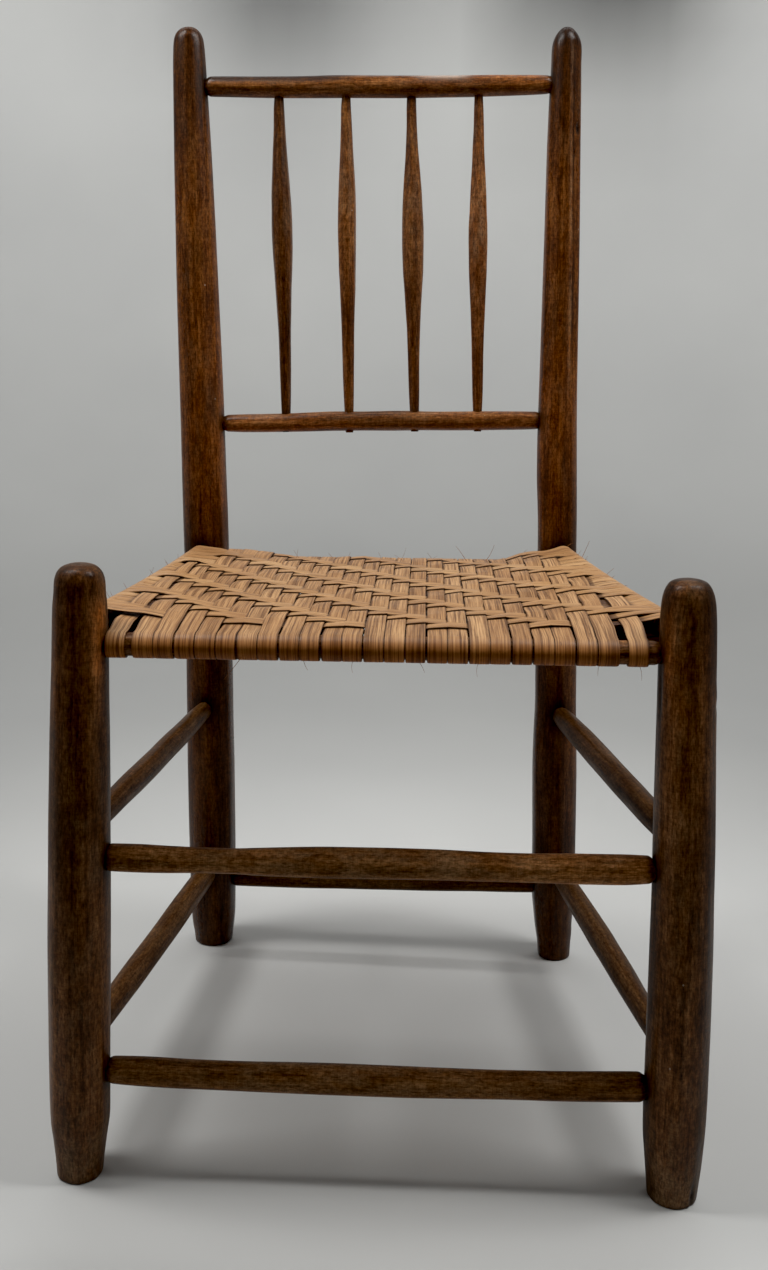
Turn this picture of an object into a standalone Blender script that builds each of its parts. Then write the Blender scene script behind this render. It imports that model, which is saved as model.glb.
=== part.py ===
"""Side chair: four round posts, rungs, a four-spindle back and a woven splint seat.

Metres, +Z up, +Y to the back, +X to the sitter's left as seen from the front.
The origin is on the floor, at the centre of the chair's bounding box.

The frame is held by round tenons in blind round mortises. Where two tenons
enter one post at nearly the same height, each stops short of the other.
The chair is handmade, so each post has its own lean, taper and top.
"""

import math

import bmesh
import bpy
from mathutils import Vector

# ---------------------------------------------------------------- dimensions
SIDES = 16  # facets round a rung, a post or a tenon
GAP = 0.0003  # clearance round and beyond every tenon
SHIFT = Vector((-0.00502, -0.01213, 0.0))  # puts the origin under the centre of the box

# front posts: axis at the floor, axis at the top, (height, radius) from the top down
FRONT_POSTS = {
    "front_post_left": {
        "foot": (-0.2205, -0.1846),
        "top": (-0.2111, -0.1761),
        "profile": [
            (0.4722, 0.0000), (0.4717, 0.0072), (0.4696, 0.0127), (0.4650, 0.0164),
            (0.4580, 0.0183), (0.4500, 0.0190), (0.4400, 0.0200), (0.4150, 0.0209),
            (0.3700, 0.0216), (0.2550, 0.0224), (0.1170, 0.0231), (0.0640, 0.0230),
            (0.0450, 0.0224), (0.0290, 0.0204), (0.0110, 0.0183), (0.0040, 0.0177),
            (0.0000, 0.0166), (-0.0080, 0.0166), (-0.0080, 0.0000),
        ],
    },
    "front_post_right": {
        "foot": (0.2287, -0.1803),
        "top": (0.2285, -0.1723),
        "profile": [
            (0.4664, 0.0000), (0.4660, 0.0070), (0.4642, 0.0126), (0.4602, 0.0163),
            (0.4548, 0.0184), (0.4480, 0.0195), (0.4300, 0.0204), (0.3640, 0.0212),
            (0.2500, 0.0224), (0.1290, 0.0235), (0.0820, 0.0236), (0.0620, 0.0232),
            (0.0340, 0.0211), (0.0120, 0.0191), (0.0040, 0.0184), (0.0000, 0.0172),
            (-0.0080, 0.0172), (-0.0080, 0.0000),
        ],
    },
}

# rear posts: straight and raked from the foot to the seat, then bent back to the top
BEND_START = 0.400  # height where the bend begins
BEND_LENGTH = 0.140  # height over which it turns
RECLINE = 0.052  # how far the top is behind the seat
REAR_POSTS = {
    "rear_post_left": {
        "foot": (-0.1790, 0.1871),
        "seat": (-0.1765, 0.1660),
        "top_x": -0.1980,
        "height": 0.9250,
        "profile": [
            (0.9250, 0.0022), (0.9240, 0.0060), (0.9215, 0.0098), (0.9175, 0.0128),
            (0.9120, 0.0145), (0.9030, 0.0154), (0.8770, 0.0161), (0.8250, 0.0173),
            (0.7500, 0.0185), (0.6600, 0.0197), (0.5820, 0.0205), (0.4950, 0.0209),
            (0.4210, 0.0216), (0.2820, 0.0225), (0.1530, 0.0224), (0.0420, 0.0212),
            (0.0080, 0.0196), (0.0000, 0.0186), (-0.0080, 0.0186),
        ],
    },
    "rear_post_right": {
        "foot": (0.1716, 0.1778),
        "seat": (0.1640, 0.1570),
        "top_x": 0.1698,
        "height": 0.9190,
        "profile": [
            (0.9190, 0.0018), (0.9174, 0.0048), (0.9140, 0.0080), (0.9090, 0.0107),
            (0.9030, 0.0126), (0.8930, 0.0136), (0.8760, 0.0142), (0.8510, 0.0150),
            (0.8020, 0.0158), (0.7000, 0.0168), (0.5850, 0.0178), (0.4930, 0.0187),
            (0.4280, 0.0185), (0.2920, 0.0199), (0.1670, 0.0195), (0.0590, 0.0185),
            (0.0080, 0.0180), (0.0000, 0.0172), (-0.0080, 0.0172),
        ],
    },
}

# rungs and rails between posts: (post, height) at each end, tenon radius,
# body radius near the first end, in the middle and near the second end,
# and how far each tenon's tip stops before the post's axis (negative: past it)
CROSSED = 0.0092  # tip of a tenon that shares its height with another
DEEP = -0.0040  # tip of a tenon that has the post to itself
RUNGS = {
    "front_stretcher_upper": (("front_post_left", 0.2499), ("front_post_right", 0.2514), 0.0072, (0.0100, 0.0110, 0.0097), (CROSSED, CROSSED)),
    "front_stretcher_lower": (("front_post_left", 0.0827), ("front_post_right", 0.0840), 0.0072, (0.0096, 0.0111, 0.0104), (CROSSED, CROSSED)),
    "side_stretcher_left_upper": (("front_post_left", 0.2652), ("rear_post_left", 0.2560), 0.0070, (0.0086, 0.0096, 0.0078), (CROSSED, DEEP)),
    "side_stretcher_left_lower": (("front_post_left", 0.0996), ("rear_post_left", 0.0810), 0.0068, (0.0090, 0.0099, 0.0086), (CROSSED, CROSSED)),
    "side_stretcher_right_upper": (("front_post_right", 0.2689), ("rear_post_right", 0.2603), 0.0070, (0.0090, 0.0098, 0.0077), (CROSSED, DEEP)),
    "side_stretcher_right_lower": (("front_post_right", 0.1029), ("rear_post_right", 0.0962), 0.0066, (0.0082, 0.0098, 0.0088), (CROSSED, CROSSED)),
    "rear_stretcher": (("rear_post_left", 0.0685), ("rear_post_right", 0.0765), 0.0066, (0.0086, 0.0097, 0.0088), (CROSSED, CROSSED)),
    "seat_rail_front": (("front_post_left", 0.4126), ("front_post_right", 0.4122), 0.0062, (0.0085, 0.0085, 0.0085), (CROSSED, CROSSED)),
    "seat_rail_back": (("rear_post_left", 0.3995), ("rear_post_right", 0.4010), 0.0062, (0.0084, 0.0085, 0.0084), (DEEP, DEEP)),
    "seat_rail_left": (("front_post_left", 0.4242), ("rear_post_left", 0.4178), 0.0062, (0.0084, 0.0085, 0.0084), (CROSSED, CROSSED)),
    "seat_rail_right": (("front_post_right", 0.4262), ("rear_post_right", 0.4215), 0.0060, (0.0084, 0.0085, 0.0084), (CROSSED, CROSSED)),
    "crest_rail": (("rear_post_left", 0.8674), ("rear_post_right", 0.8643), 0.0064, (0.0096, 0.0105, 0.0084), (DEEP, DEEP)),
    "lower_back_rail": (("rear_post_left", 0.5399), ("rear_post_right", 0.5461), 0.0060, (0.0082, 0.0092, 0.0083), (DEEP, DEEP)),
}

# spindles: share of the way along the crest rail and along the lower rail,
# widest radius, and how far the tenon's foot stands out under the lower rail
SPINDLES = {
    "spindle_1": (0.2389, 0.2355, 0.0092, -0.0004),
    "spindle_2": (0.4203, 0.4164, 0.0084, 0.0010),
    "spindle_3": (0.5934, 0.5999, 0.0096, 0.0006),
    "spindle_4": (0.7702, 0.7761, 0.0088, 0.0010),
}
SPINDLE_SHAPE = [  # share of the length from the top, radius over the widest radius
    (0.00, 0.52), (0.08, 0.60), (0.18, 0.77), (0.28, 0.94), (0.36, 1.00),
    (0.45, 0.95), (0.57, 0.81), (0.70, 0.68), (0.84, 0.55), (1.00, 0.46),
]
SPINDLE_TENON_TOP = 0.0042
SPINDLE_TENON_FOOT = 0.0038
SPINDLE_DEPTH_TOP = 0.0100  # into the crest rail, from its underside

# woven seat: one layer of splint front to back, and one side to side above it
SPLINT = 0.0013  # thickness of a layer
SPLINT_CLEAR = 0.0004  # from a layer to a rail, and between the two layers
WARP_FRONT = (-0.1912, 0.2000)  # left and right edge of the front-to-back layer, at the front rail
WARP_BACK = (-0.1522, 0.1428)  # and at the back rail
WEFT_FRONT = 0.0225  # front edge of the side-to-side layer, behind the front rail's axis
WEFT_BACK = 0.0245  # back edge, ahead of the back rail's axis
WEFT_UNDER_FRONT = 0.4100  # height of its lower run at mid width, at the front
WEFT_UNDER_BACK = 0.4015  # and at the back


# ------------------------------------------------------------------- helpers
for old in list(bpy.data.objects):
    bpy.data.objects.remove(old, do_unlink=True)

PARTS = bpy.data.collections.new("side_chair")
CUTTERS = bpy.data.collections.new("mortise_cutters")
bpy.context.scene.collection.children.link(PARTS)
bpy.context.scene.collection.children.link(CUTTERS)


def material(name, colour, roughness):
    made = bpy.data.materials.new(name)
    made.use_nodes = True
    shader = made.node_tree.nodes["Principled BSDF"]
    shader.inputs["Base Color"].default_value = (*colour, 1.0)
    shader.inputs["Roughness"].default_value = roughness
    shader.inputs["Metallic"].default_value = 0.0
    return made


def front_axis(name, height):
    post = FRONT_POSTS[name]
    share = height / post["profile"][0][0]
    x = post["foot"][0] + (post["top"][0] - post["foot"][0]) * share
    y = post["foot"][1] + (post["top"][1] - post["foot"][1]) * share
    return Vector((x, y, height)) + SHIFT


def rear_axis(name, height):
    """A straight rake up to the bend, a parabola through it, and a straight lean above."""
    post = REAR_POSTS[name]
    place = []
    for foot, seat, rise in (
        (post["foot"][0], post["seat"][0], post["top_x"] - post["seat"][0]),
        (post["foot"][1], post["seat"][1], RECLINE),
    ):
        low = (seat - foot) / BEND_START
        above = post["height"] - BEND_START
        high = (rise - low * BEND_LENGTH / 2) / (above - BEND_LENGTH / 2)
        up = height - BEND_START
        if up <= 0:
            place.append(seat + low * up)
        elif up < BEND_LENGTH:
            place.append(seat + low * up + (high - low) * up * up / (2 * BEND_LENGTH))
        else:
            place.append(seat + (low + high) * BEND_LENGTH / 2 + high * (up - BEND_LENGTH))
    return Vector((*place, height)) + SHIFT


def axis_at(name, height):
    return front_axis(name, height) if name in FRONT_POSTS else rear_axis(name, height)


def radius_at(profile, height):
    """Radius at a height, from a profile that is listed from the top down."""
    for (top, r_top), (low, r_low) in zip(profile, profile[1:]):
        if low <= height <= top and top > low:
            return r_low + (r_top - r_low) * (height - low) / (top - low)
    return profile[-1][1]


def post_radius(name, height):
    posts = FRONT_POSTS if name in FRONT_POSTS else REAR_POSTS
    return radius_at(posts[name]["profile"], height)


def turned(name, start, end, profile, look):
    """A round piece from start towards end: a profile of (distance, radius) with a Screw modifier."""
    points = sorted(profile, key=lambda p: -p[0]) if profile[0][0] < profile[-1][0] else list(profile)
    if points[0][1] > 0:
        points.insert(0, (points[0][0], 0.0))
    if points[-1][1] > 0:
        points.append((points[-1][0], 0.0))
    mesh = bpy.data.meshes.new(name)
    mesh.from_pydata([(r, 0.0, d) for d, r in points], [(i, i + 1) for i in range(len(points) - 1)], [])
    piece = bpy.data.objects.new(name, mesh)
    PARTS.objects.link(piece)
    piece.location = start
    piece.rotation_mode = "QUATERNION"
    piece.rotation_quaternion = Vector((0, 0, 1)).rotation_difference(end - start)
    screw = piece.modifiers.new("turned", "SCREW")
    screw.axis = "Z"
    screw.steps = screw.render_steps = SIDES
    screw.use_merge_vertices = True
    screw.merge_threshold = 0.00005
    screw.use_smooth_shade = True
    mesh.materials.append(look)
    return piece


def bent_post(name, look):
    """A bent, tapered round post: a bevelled curve along its axis, made a mesh."""
    profile = REAR_POSTS[name]["profile"]
    heights = sorted({h for h, _ in profile} | {BEND_START + BEND_LENGTH * k / 6 for k in range(7)})
    path = bpy.data.curves.new(name, "CURVE")
    path.dimensions = "3D"
    path.bevel_depth = 1.0
    path.bevel_resolution = (SIDES - 4) // 2
    path.use_fill_caps = True
    path.twist_mode = "MINIMUM"
    spline = path.splines.new("POLY")
    spline.points.add(len(heights) - 1)
    for point, height in zip(spline.points, heights):
        point.co = (*rear_axis(name, height), 1.0)
        point.radius = radius_at(profile, height)
    guide = bpy.data.objects.new(name + "_axis", path)
    PARTS.objects.link(guide)
    bpy.context.view_layer.update()
    mesh = bpy.data.meshes.new_from_object(guide.evaluated_get(bpy.context.evaluated_depsgraph_get()))
    work = bmesh.new()
    work.from_mesh(mesh)
    bmesh.ops.remove_doubles(work, verts=work.verts, dist=0.00002)
    bmesh.ops.recalc_face_normals(work, faces=work.faces)
    work.to_mesh(mesh)
    work.free()
    mesh.name = name
    mesh.materials.clear()
    mesh.materials.append(look)
    piece = bpy.data.objects.new(name, mesh)
    piece.matrix_world = guide.matrix_world
    bpy.data.objects.remove(guide, do_unlink=True)
    PARTS.objects.link(piece)
    mesh.shade_smooth()
    mesh.set_sharp_from_angle(angle=math.radians(40))
    return piece


def rung_profile(length, first, second, tenon, body, tips):
    """(distance, radius) from tip to tip; first and second are the posts' radii at the joints."""
    near, middle, far = body
    a, b = first + 0.0012, length - second - 0.0012
    rows = [(tips[0], tenon), (a, tenon), (a + 0.0065, near)]
    inner_a, inner_b = a + 0.0065, b - 0.0065
    for share in (0.14, 0.32, 0.5, 0.68, 0.86):
        swell = math.sin(math.pi * share) ** 0.8
        ends = near + (far - near) * share
        rows.append((inner_a + (inner_b - inner_a) * share, ends + (middle - (near + far) / 2) * swell))
    rows += [(inner_b, far), (b, tenon), (length - tips[1], tenon)]
    return rows


holes = {}


def mortise(node, outside, tip, radius):
    """Notes a round hole in node, from a point outside it to a little past the tenon's tip."""
    way = (tip - outside).normalized()
    holes.setdefault(node, []).append((outside, tip + way * GAP, (radius + GAP) / math.cos(math.pi / SIDES)))


def cut(piece, cutter):
    change = piece.modifiers.new(cutter.name, "BOOLEAN")
    change.operation = "DIFFERENCE"
    change.solver = "EXACT"
    change.object = cutter


def cutter_object(name, work):
    mesh = bpy.data.meshes.new(name)
    work.to_mesh(mesh)
    work.free()
    made = bpy.data.objects.new(name, mesh)
    made.hide_render = True
    made.display_type = "WIRE"
    CUTTERS.objects.link(made)
    return made


def drill(piece):
    """Cuts every noted hole of a piece with one cutter, whose drills stand clear of each other."""
    work = bmesh.new()
    for outside, end, radius in holes[piece.name]:
        way = end - outside
        place = way.to_track_quat("Z", "Y").to_matrix().to_4x4()
        place.translation = (outside + end) / 2
        bmesh.ops.create_cone(
            work, cap_ends=True, segments=SIDES, radius1=radius, radius2=radius, depth=way.length, matrix=place
        )
    cut(piece, cutter_object(piece.name + "_mortises", work))


def band(name, rows, look):
    """A closed loop of sheet: rows of points, each row one edge-to-edge line, thickened outwards."""
    across = len(rows[0])
    verts = [p for row in rows for p in row]
    faces = []
    for i in range(len(rows)):
        j = (i + 1) % len(rows)
        for k in range(across - 1):
            faces.append((i * across + k, i * across + k + 1, j * across + k + 1, j * across + k))
    mesh = bpy.data.meshes.new(name)
    mesh.from_pydata(verts, [], faces)
    mesh.materials.append(look)
    mesh.shade_smooth()
    piece = bpy.data.objects.new(name, mesh)
    PARTS.objects.link(piece)
    shell = piece.modifiers.new("thickness", "SOLIDIFY")
    shell.thickness = SPLINT
    shell.offset = 1.0
    shell.use_even_offset = True
    return piece


# --------------------------------------------------------------------- posts
objects = {}
FRONT_WOOD = {"front_post_left": (0.155, 0.058, 0.024), "front_post_right": (0.145, 0.054, 0.023)}
for name, post in FRONT_POSTS.items():
    foot, top = front_axis(name, 0.0), front_axis(name, post["profile"][0][0])
    objects[name] = turned(name, foot, top, post["profile"], material(name, FRONT_WOOD[name], 0.38))
for name in REAR_POSTS:
    objects[name] = bent_post(name, material(name, (0.125, 0.045, 0.020), 0.38))

# the feet end in one flat plane, the floor
ground = bmesh.new()
bmesh.ops.create_cube(ground, size=1.0)
bmesh.ops.scale(ground, vec=(0.7, 0.7, 0.03), verts=ground.verts)
bmesh.ops.translate(ground, vec=(0.0, 0.0, -0.015), verts=ground.verts)
floor_cutter = cutter_object("floor_plane", ground)

# --------------------------------------------------------------- rungs, rails
spans = {}
for name, ((first, z_first), (second, z_second), tenon, body, tips) in RUNGS.items():
    start, end = axis_at(first, z_first), axis_at(second, z_second)
    way = (end - start).normalized()
    length = (end - start).length
    r_first, r_second = post_radius(first, z_first), post_radius(second, z_second)
    spans[name] = (start, end)
    shade = (0.140, 0.050, 0.021) if "stretcher" in name else (0.120, 0.044, 0.020)
    objects[name] = turned(
        name, start, end, rung_profile(length, r_first, r_second, tenon, body, tips), material(name, shade, 0.40)
    )
    for node, here, inward, radius, tip in (
        (first, start, way, r_first, tips[0]),
        (second, end, -way, r_second, tips[1]),
    ):
        mortise(node, here + inward * (radius + 0.006), here + inward * tip, tenon)

# ------------------------------------------------------------------ spindles
for name, (share_top, share_low, widest, proud) in SPINDLES.items():
    crest, low = spans["crest_rail"], spans["lower_back_rail"]
    top = crest[0].lerp(crest[1], share_top)
    foot = low[0].lerp(low[1], share_low)
    down = (foot - top).normalized()
    length = (foot - top).length
    r_crest, r_low = 0.0104, 0.0091
    begin, finish = r_crest + 0.0006, length - r_low - 0.0006
    rows = [(r_crest - SPINDLE_DEPTH_TOP, SPINDLE_TENON_TOP)]
    for share, size in SPINDLE_SHAPE:
        radius = max(size * widest, 0.0040)
        if share == 0.0:
            radius = SPINDLE_TENON_TOP
        if share == 1.0:
            radius = SPINDLE_TENON_FOOT
        rows.append((begin + (finish - begin) * share, radius))
    rows.append((length + r_low + proud, SPINDLE_TENON_FOOT))
    objects[name] = turned(name, top, foot, rows, material(name, (0.118, 0.046, 0.021), 0.42))
    mortise("crest_rail", top + down * (r_crest + 0.004), top + down * (r_crest - SPINDLE_DEPTH_TOP), SPINDLE_TENON_TOP)
    mortise("lower_back_rail", foot - down * (r_low + 0.004), foot + down * (r_low + 0.006), SPINDLE_TENON_FOOT)

for name in holes:
    drill(objects[name])
for name in (*FRONT_POSTS, *REAR_POSTS):
    cut(objects[name], floor_cutter)

# ---------------------------------------------------------------- woven seat
RAIL = 0.0085
ROUND = RAIL + SPLINT_CLEAR  # inner radius of a layer where it goes round a rail
ACROSS = 13  # points across the front-to-back layer


def along(span, x=None, y=None):
    """The point of a rail's axis at a given x or y."""
    start, end = span
    share = (x - start.x) / (end.x - start.x) if x is not None else (y - start.y) / (end.y - start.y)
    return start.lerp(end, share)


warp_rows = []
half_turn = [math.pi * k / 8 for k in range(9)]


def warp_row(place):
    """One line of points across the layer; place gives the point for a front and a back rail point."""
    row = []
    for k in range(ACROSS):
        share = k / (ACROSS - 1)
        front = along(spans["seat_rail_front"], x=WARP_FRONT[0] + (WARP_FRONT[1] - WARP_FRONT[0]) * share + SHIFT.x)
        back = along(spans["seat_rail_back"], x=WARP_BACK[0] + (WARP_BACK[1] - WARP_BACK[0]) * share + SHIFT.x)
        row.append(place(front, back))
    return row


for angle in half_turn:  # round the front rail, from its underside to its top
    turn = math.pi - angle
    warp_rows.append(warp_row(lambda f, b, t=turn: f + Vector((0, -math.sin(t), math.cos(t))) * ROUND))
for k in range(1, 8):
    warp_rows.append(warp_row(lambda f, b, s=k / 8: f.lerp(b, s) + Vector((0, 0, ROUND))))
for angle in half_turn:  # round the back rail, from its top to its underside
    warp_rows.append(warp_row(lambda f, b, t=angle: b + Vector((0, math.sin(t), math.cos(t))) * ROUND))
for k in range(1, 5):
    warp_rows.append(warp_row(lambda f, b, s=k / 5: b.lerp(f, s) - Vector((0, 0, ROUND))))
warp_rows = [[tuple(p) for p in row] for row in warp_rows]
objects["seat_warp_splint"] = band(
    "seat_warp_splint", warp_rows, material("seat_warp_splint", (0.46, 0.27, 0.115), 0.62)
)

LEAN_IN = math.radians(14)  # the layer leaves the side rails this far inside their tops
DEPTHS = 13
ACROSS_TOP = 14


def weft_section(share):
    """A closed loop of points from side to side, share of the way from the front edge to the back."""
    front, back = spans["seat_rail_front"], spans["seat_rail_back"]
    f_mid, b_mid = along(front, x=0.0), along(back, x=0.0)
    y_left, y_right = (
        front[k].y + WEFT_FRONT + (back[k].y - WEFT_BACK - front[k].y - WEFT_FRONT) * share for k in (0, 1)
    )
    left = along(spans["seat_rail_left"], y=y_left)
    right = along(spans["seat_rail_right"], y=y_right)
    depth = ((y_left + y_right) / 2 - f_mid.y) / (b_mid.y - f_mid.y)
    level = f_mid.lerp(b_mid, depth).z + ROUND + SPLINT + SPLINT_CLEAR + 0.0001
    under = WEFT_UNDER_FRONT + (WEFT_UNDER_BACK - WEFT_UNDER_FRONT) * depth
    loop = []
    steps = 9

    def run(start, end, middle, count):
        """Points between two ends, level in the middle and curving up or down to each end."""
        for k in range(1, count):
            s = k / count
            side = start.z + (end.z - start.z) * s
            edge = abs(2 * s - 1) ** 4
            point = start.lerp(end, s)
            loop.append(Vector((point.x, point.y, middle + (side - middle) * edge)))

    # round the left rail, from inside its underside, over the outside, to inside its top
    for k in range(steps + 1):
        turn = -LEAN_IN + (math.pi + 2 * LEAN_IN) * (1 - k / steps)
        loop.append(left + Vector((-math.sin(turn), 0, math.cos(turn))) * ROUND)
    run(loop[-1], right + Vector((math.sin(-LEAN_IN), 0, math.cos(LEAN_IN))) * ROUND, level, ACROSS_TOP)
    # round the right rail, from inside its top, over the outside, to inside its underside
    for k in range(steps + 1):
        turn = -LEAN_IN + (math.pi + 2 * LEAN_IN) * k / steps
        loop.append(right + Vector((math.sin(turn), 0, math.cos(turn))) * ROUND)
    run(loop[-1], loop[0], under, 8)
    return [tuple(p) for p in loop]


sections = [weft_section(k / (DEPTHS - 1)) for k in range(DEPTHS)]
weft_rows = [list(row) for row in zip(*sections)]
weft_rows = [row[::-1] for row in weft_rows]
objects["seat_weft_splint"] = band(
    "seat_weft_splint", weft_rows, material("seat_weft_splint", (0.56, 0.36, 0.165), 0.62)
)
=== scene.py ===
"""Looks of the side chair: hand-shaved varnished wood and a splint seat woven strand by strand.

Metres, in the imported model's own frame: +Z up, +Y to the back, origin on the floor.
Each visible piece replaces the node of the same name and lies where that node is.
"""

import math

import bpy
import numpy as np
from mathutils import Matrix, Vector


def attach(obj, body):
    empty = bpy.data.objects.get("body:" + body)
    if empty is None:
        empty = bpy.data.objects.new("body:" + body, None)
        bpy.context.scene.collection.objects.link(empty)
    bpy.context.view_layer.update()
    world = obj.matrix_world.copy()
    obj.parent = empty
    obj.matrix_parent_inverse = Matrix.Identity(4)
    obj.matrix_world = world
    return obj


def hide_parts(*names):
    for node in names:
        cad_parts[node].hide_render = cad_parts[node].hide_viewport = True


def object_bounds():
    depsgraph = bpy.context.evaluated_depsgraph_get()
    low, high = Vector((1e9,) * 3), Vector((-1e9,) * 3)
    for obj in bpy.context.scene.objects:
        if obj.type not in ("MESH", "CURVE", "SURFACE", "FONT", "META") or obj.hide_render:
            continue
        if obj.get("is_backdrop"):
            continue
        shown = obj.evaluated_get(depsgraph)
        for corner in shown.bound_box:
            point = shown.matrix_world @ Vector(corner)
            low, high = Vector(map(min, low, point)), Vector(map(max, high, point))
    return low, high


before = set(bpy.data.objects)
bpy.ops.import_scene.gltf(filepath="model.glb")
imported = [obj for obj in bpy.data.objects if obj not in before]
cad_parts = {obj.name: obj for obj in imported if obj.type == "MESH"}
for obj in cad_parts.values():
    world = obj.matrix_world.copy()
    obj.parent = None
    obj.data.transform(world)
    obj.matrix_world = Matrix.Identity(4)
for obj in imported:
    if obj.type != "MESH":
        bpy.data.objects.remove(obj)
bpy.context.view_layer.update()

SHIFT = np.array([-0.00502, -0.01213, 0.0])

# ----------------------------------------------------------------- the frame
FRONT_POSTS = {
    "front_post_left": {
        "foot": (-0.2205, -0.1846),
        "top": (-0.2111, -0.1761),
        "profile": [
            (0.4722, 0.0000), (0.4717, 0.0072), (0.4696, 0.0127), (0.4650, 0.0164),
            (0.4580, 0.0183), (0.4500, 0.0190), (0.4400, 0.0200), (0.4150, 0.0209),
            (0.3700, 0.0216), (0.2550, 0.0224), (0.1170, 0.0231), (0.0640, 0.0230),
            (0.0450, 0.0224), (0.0290, 0.0204), (0.0110, 0.0183), (0.0040, 0.0177),
            (0.0008, 0.0173), (0.0000, 0.0164),
        ],
    },
    "front_post_right": {
        "foot": (0.2287, -0.1803),
        "top": (0.2285, -0.1723),
        "profile": [
            (0.4664, 0.0000), (0.4660, 0.0070), (0.4642, 0.0126), (0.4602, 0.0163),
            (0.4548, 0.0184), (0.4480, 0.0195), (0.4300, 0.0204), (0.3640, 0.0212),
            (0.2500, 0.0224), (0.1290, 0.0235), (0.0820, 0.0236), (0.0620, 0.0232),
            (0.0340, 0.0211), (0.0120, 0.0191), (0.0040, 0.0184), (0.0008, 0.0180),
            (0.0000, 0.0170),
        ],
    },
}
BEND_START, BEND_LENGTH, RECLINE = 0.400, 0.140, 0.052
REAR_POSTS = {
    "rear_post_left": {
        "foot": (-0.1790, 0.1871),
        "seat": (-0.1765, 0.1660),
        "top_x": -0.1980,
        "height": 0.9250,
        "profile": [
            (0.9252, 0.0000), (0.9248, 0.0036), (0.9234, 0.0075), (0.9210, 0.0105),
            (0.9175, 0.0129), (0.9120, 0.0146), (0.9030, 0.0154), (0.8770, 0.0161),
            (0.8250, 0.0173), (0.7500, 0.0185), (0.6600, 0.0197), (0.5820, 0.0205),
            (0.4950, 0.0209), (0.4210, 0.0216), (0.2820, 0.0225), (0.1530, 0.0224),
            (0.0420, 0.0212), (0.0080, 0.0198), (0.0008, 0.0193), (0.0000, 0.0184),
        ],
    },
    "rear_post_right": {
        "foot": (0.1716, 0.1778),
        "seat": (0.1640, 0.1570),
        "top_x": 0.1698,
        "height": 0.9190,
        "profile": [
            (0.9192, 0.0000), (0.9186, 0.0028), (0.9168, 0.0058), (0.9136, 0.0086),
            (0.9090, 0.0109), (0.9030, 0.0126), (0.8930, 0.0136), (0.8760, 0.0142),
            (0.8510, 0.0150), (0.8020, 0.0158), (0.7000, 0.0168), (0.5850, 0.0178),
            (0.4930, 0.0187), (0.4280, 0.0185), (0.2920, 0.0199), (0.1670, 0.0195),
            (0.0590, 0.0185), (0.0080, 0.0180), (0.0008, 0.0177), (0.0000, 0.0170),
        ],
    },
}
# (post, height) at each end, then radius near the first end, in the middle and near the second
RUNGS = {
    "front_stretcher_upper": (("front_post_left", 0.2499), ("front_post_right", 0.2514), (0.0100, 0.0110, 0.0097)),
    "front_stretcher_lower": (("front_post_left", 0.0827), ("front_post_right", 0.0840), (0.0096, 0.0111, 0.0104)),
    "side_stretcher_left_upper": (("front_post_left", 0.2652), ("rear_post_left", 0.2560), (0.0086, 0.0096, 0.0078)),
    "side_stretcher_left_lower": (("front_post_left", 0.0996), ("rear_post_left", 0.0810), (0.0090, 0.0099, 0.0086)),
    "side_stretcher_right_upper": (("front_post_right", 0.2689), ("rear_post_right", 0.2603), (0.0090, 0.0098, 0.0077)),
    "side_stretcher_right_lower": (("front_post_right", 0.1029), ("rear_post_right", 0.0962), (0.0082, 0.0098, 0.0088)),
    "rear_stretcher": (("rear_post_left", 0.0685), ("rear_post_right", 0.0765), (0.0086, 0.0097, 0.0088)),
    "seat_rail_front": (("front_post_left", 0.4126), ("front_post_right", 0.4122), (0.0085, 0.0085, 0.0085)),
    "seat_rail_back": (("rear_post_left", 0.3995), ("rear_post_right", 0.4010), (0.0084, 0.0085, 0.0084)),
    "seat_rail_left": (("front_post_left", 0.4242), ("rear_post_left", 0.4150), (0.0084, 0.0085, 0.0084)),
    "seat_rail_right": (("front_post_right", 0.4238), ("rear_post_right", 0.4205), (0.0084, 0.0085, 0.0084)),
    "crest_rail": (("rear_post_left", 0.8674), ("rear_post_right", 0.8643), (0.0096, 0.0105, 0.0084)),
    "lower_back_rail": (("rear_post_left", 0.5399), ("rear_post_right", 0.5461), (0.0082, 0.0092, 0.0083)),
}
TENON = {"lower_back_rail": 0.0060, "crest_rail": 0.0064, "front_stretcher_upper": 0.0072, "front_stretcher_lower": 0.0072}
SPINDLES = {
    "spindle_1": (0.2389, 0.2355, 0.0092, -0.0004),
    "spindle_2": (0.4203, 0.4164, 0.0084, 0.0010),
    "spindle_3": (0.5934, 0.5999, 0.0096, 0.0006),
    "spindle_4": (0.7702, 0.7761, 0.0088, 0.0010),
}
SPINDLE_SHAPE = [
    (0.00, 0.46), (0.03, 0.50), (0.08, 0.58), (0.18, 0.77), (0.28, 0.94), (0.36, 1.00),
    (0.45, 0.95), (0.57, 0.81), (0.70, 0.68), (0.84, 0.55), (1.00, 0.44),
]


def mix(a, b, t):
    return a + (b - a) * t


def ease(x, low, high):
    """0 below low, 1 above high, smooth between."""
    t = np.clip((np.asarray(x, float) - low) / (high - low), 0, 1)
    return t * t * (3 - 2 * t)


def front_axis(name, z):
    post = FRONT_POSTS[name]
    share = np.asarray(z, float) / post["profile"][0][0]
    x = mix(post["foot"][0], post["top"][0], share)
    y = mix(post["foot"][1], post["top"][1], share)
    return np.stack([x, y, np.asarray(z, float)], -1) + SHIFT


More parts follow.
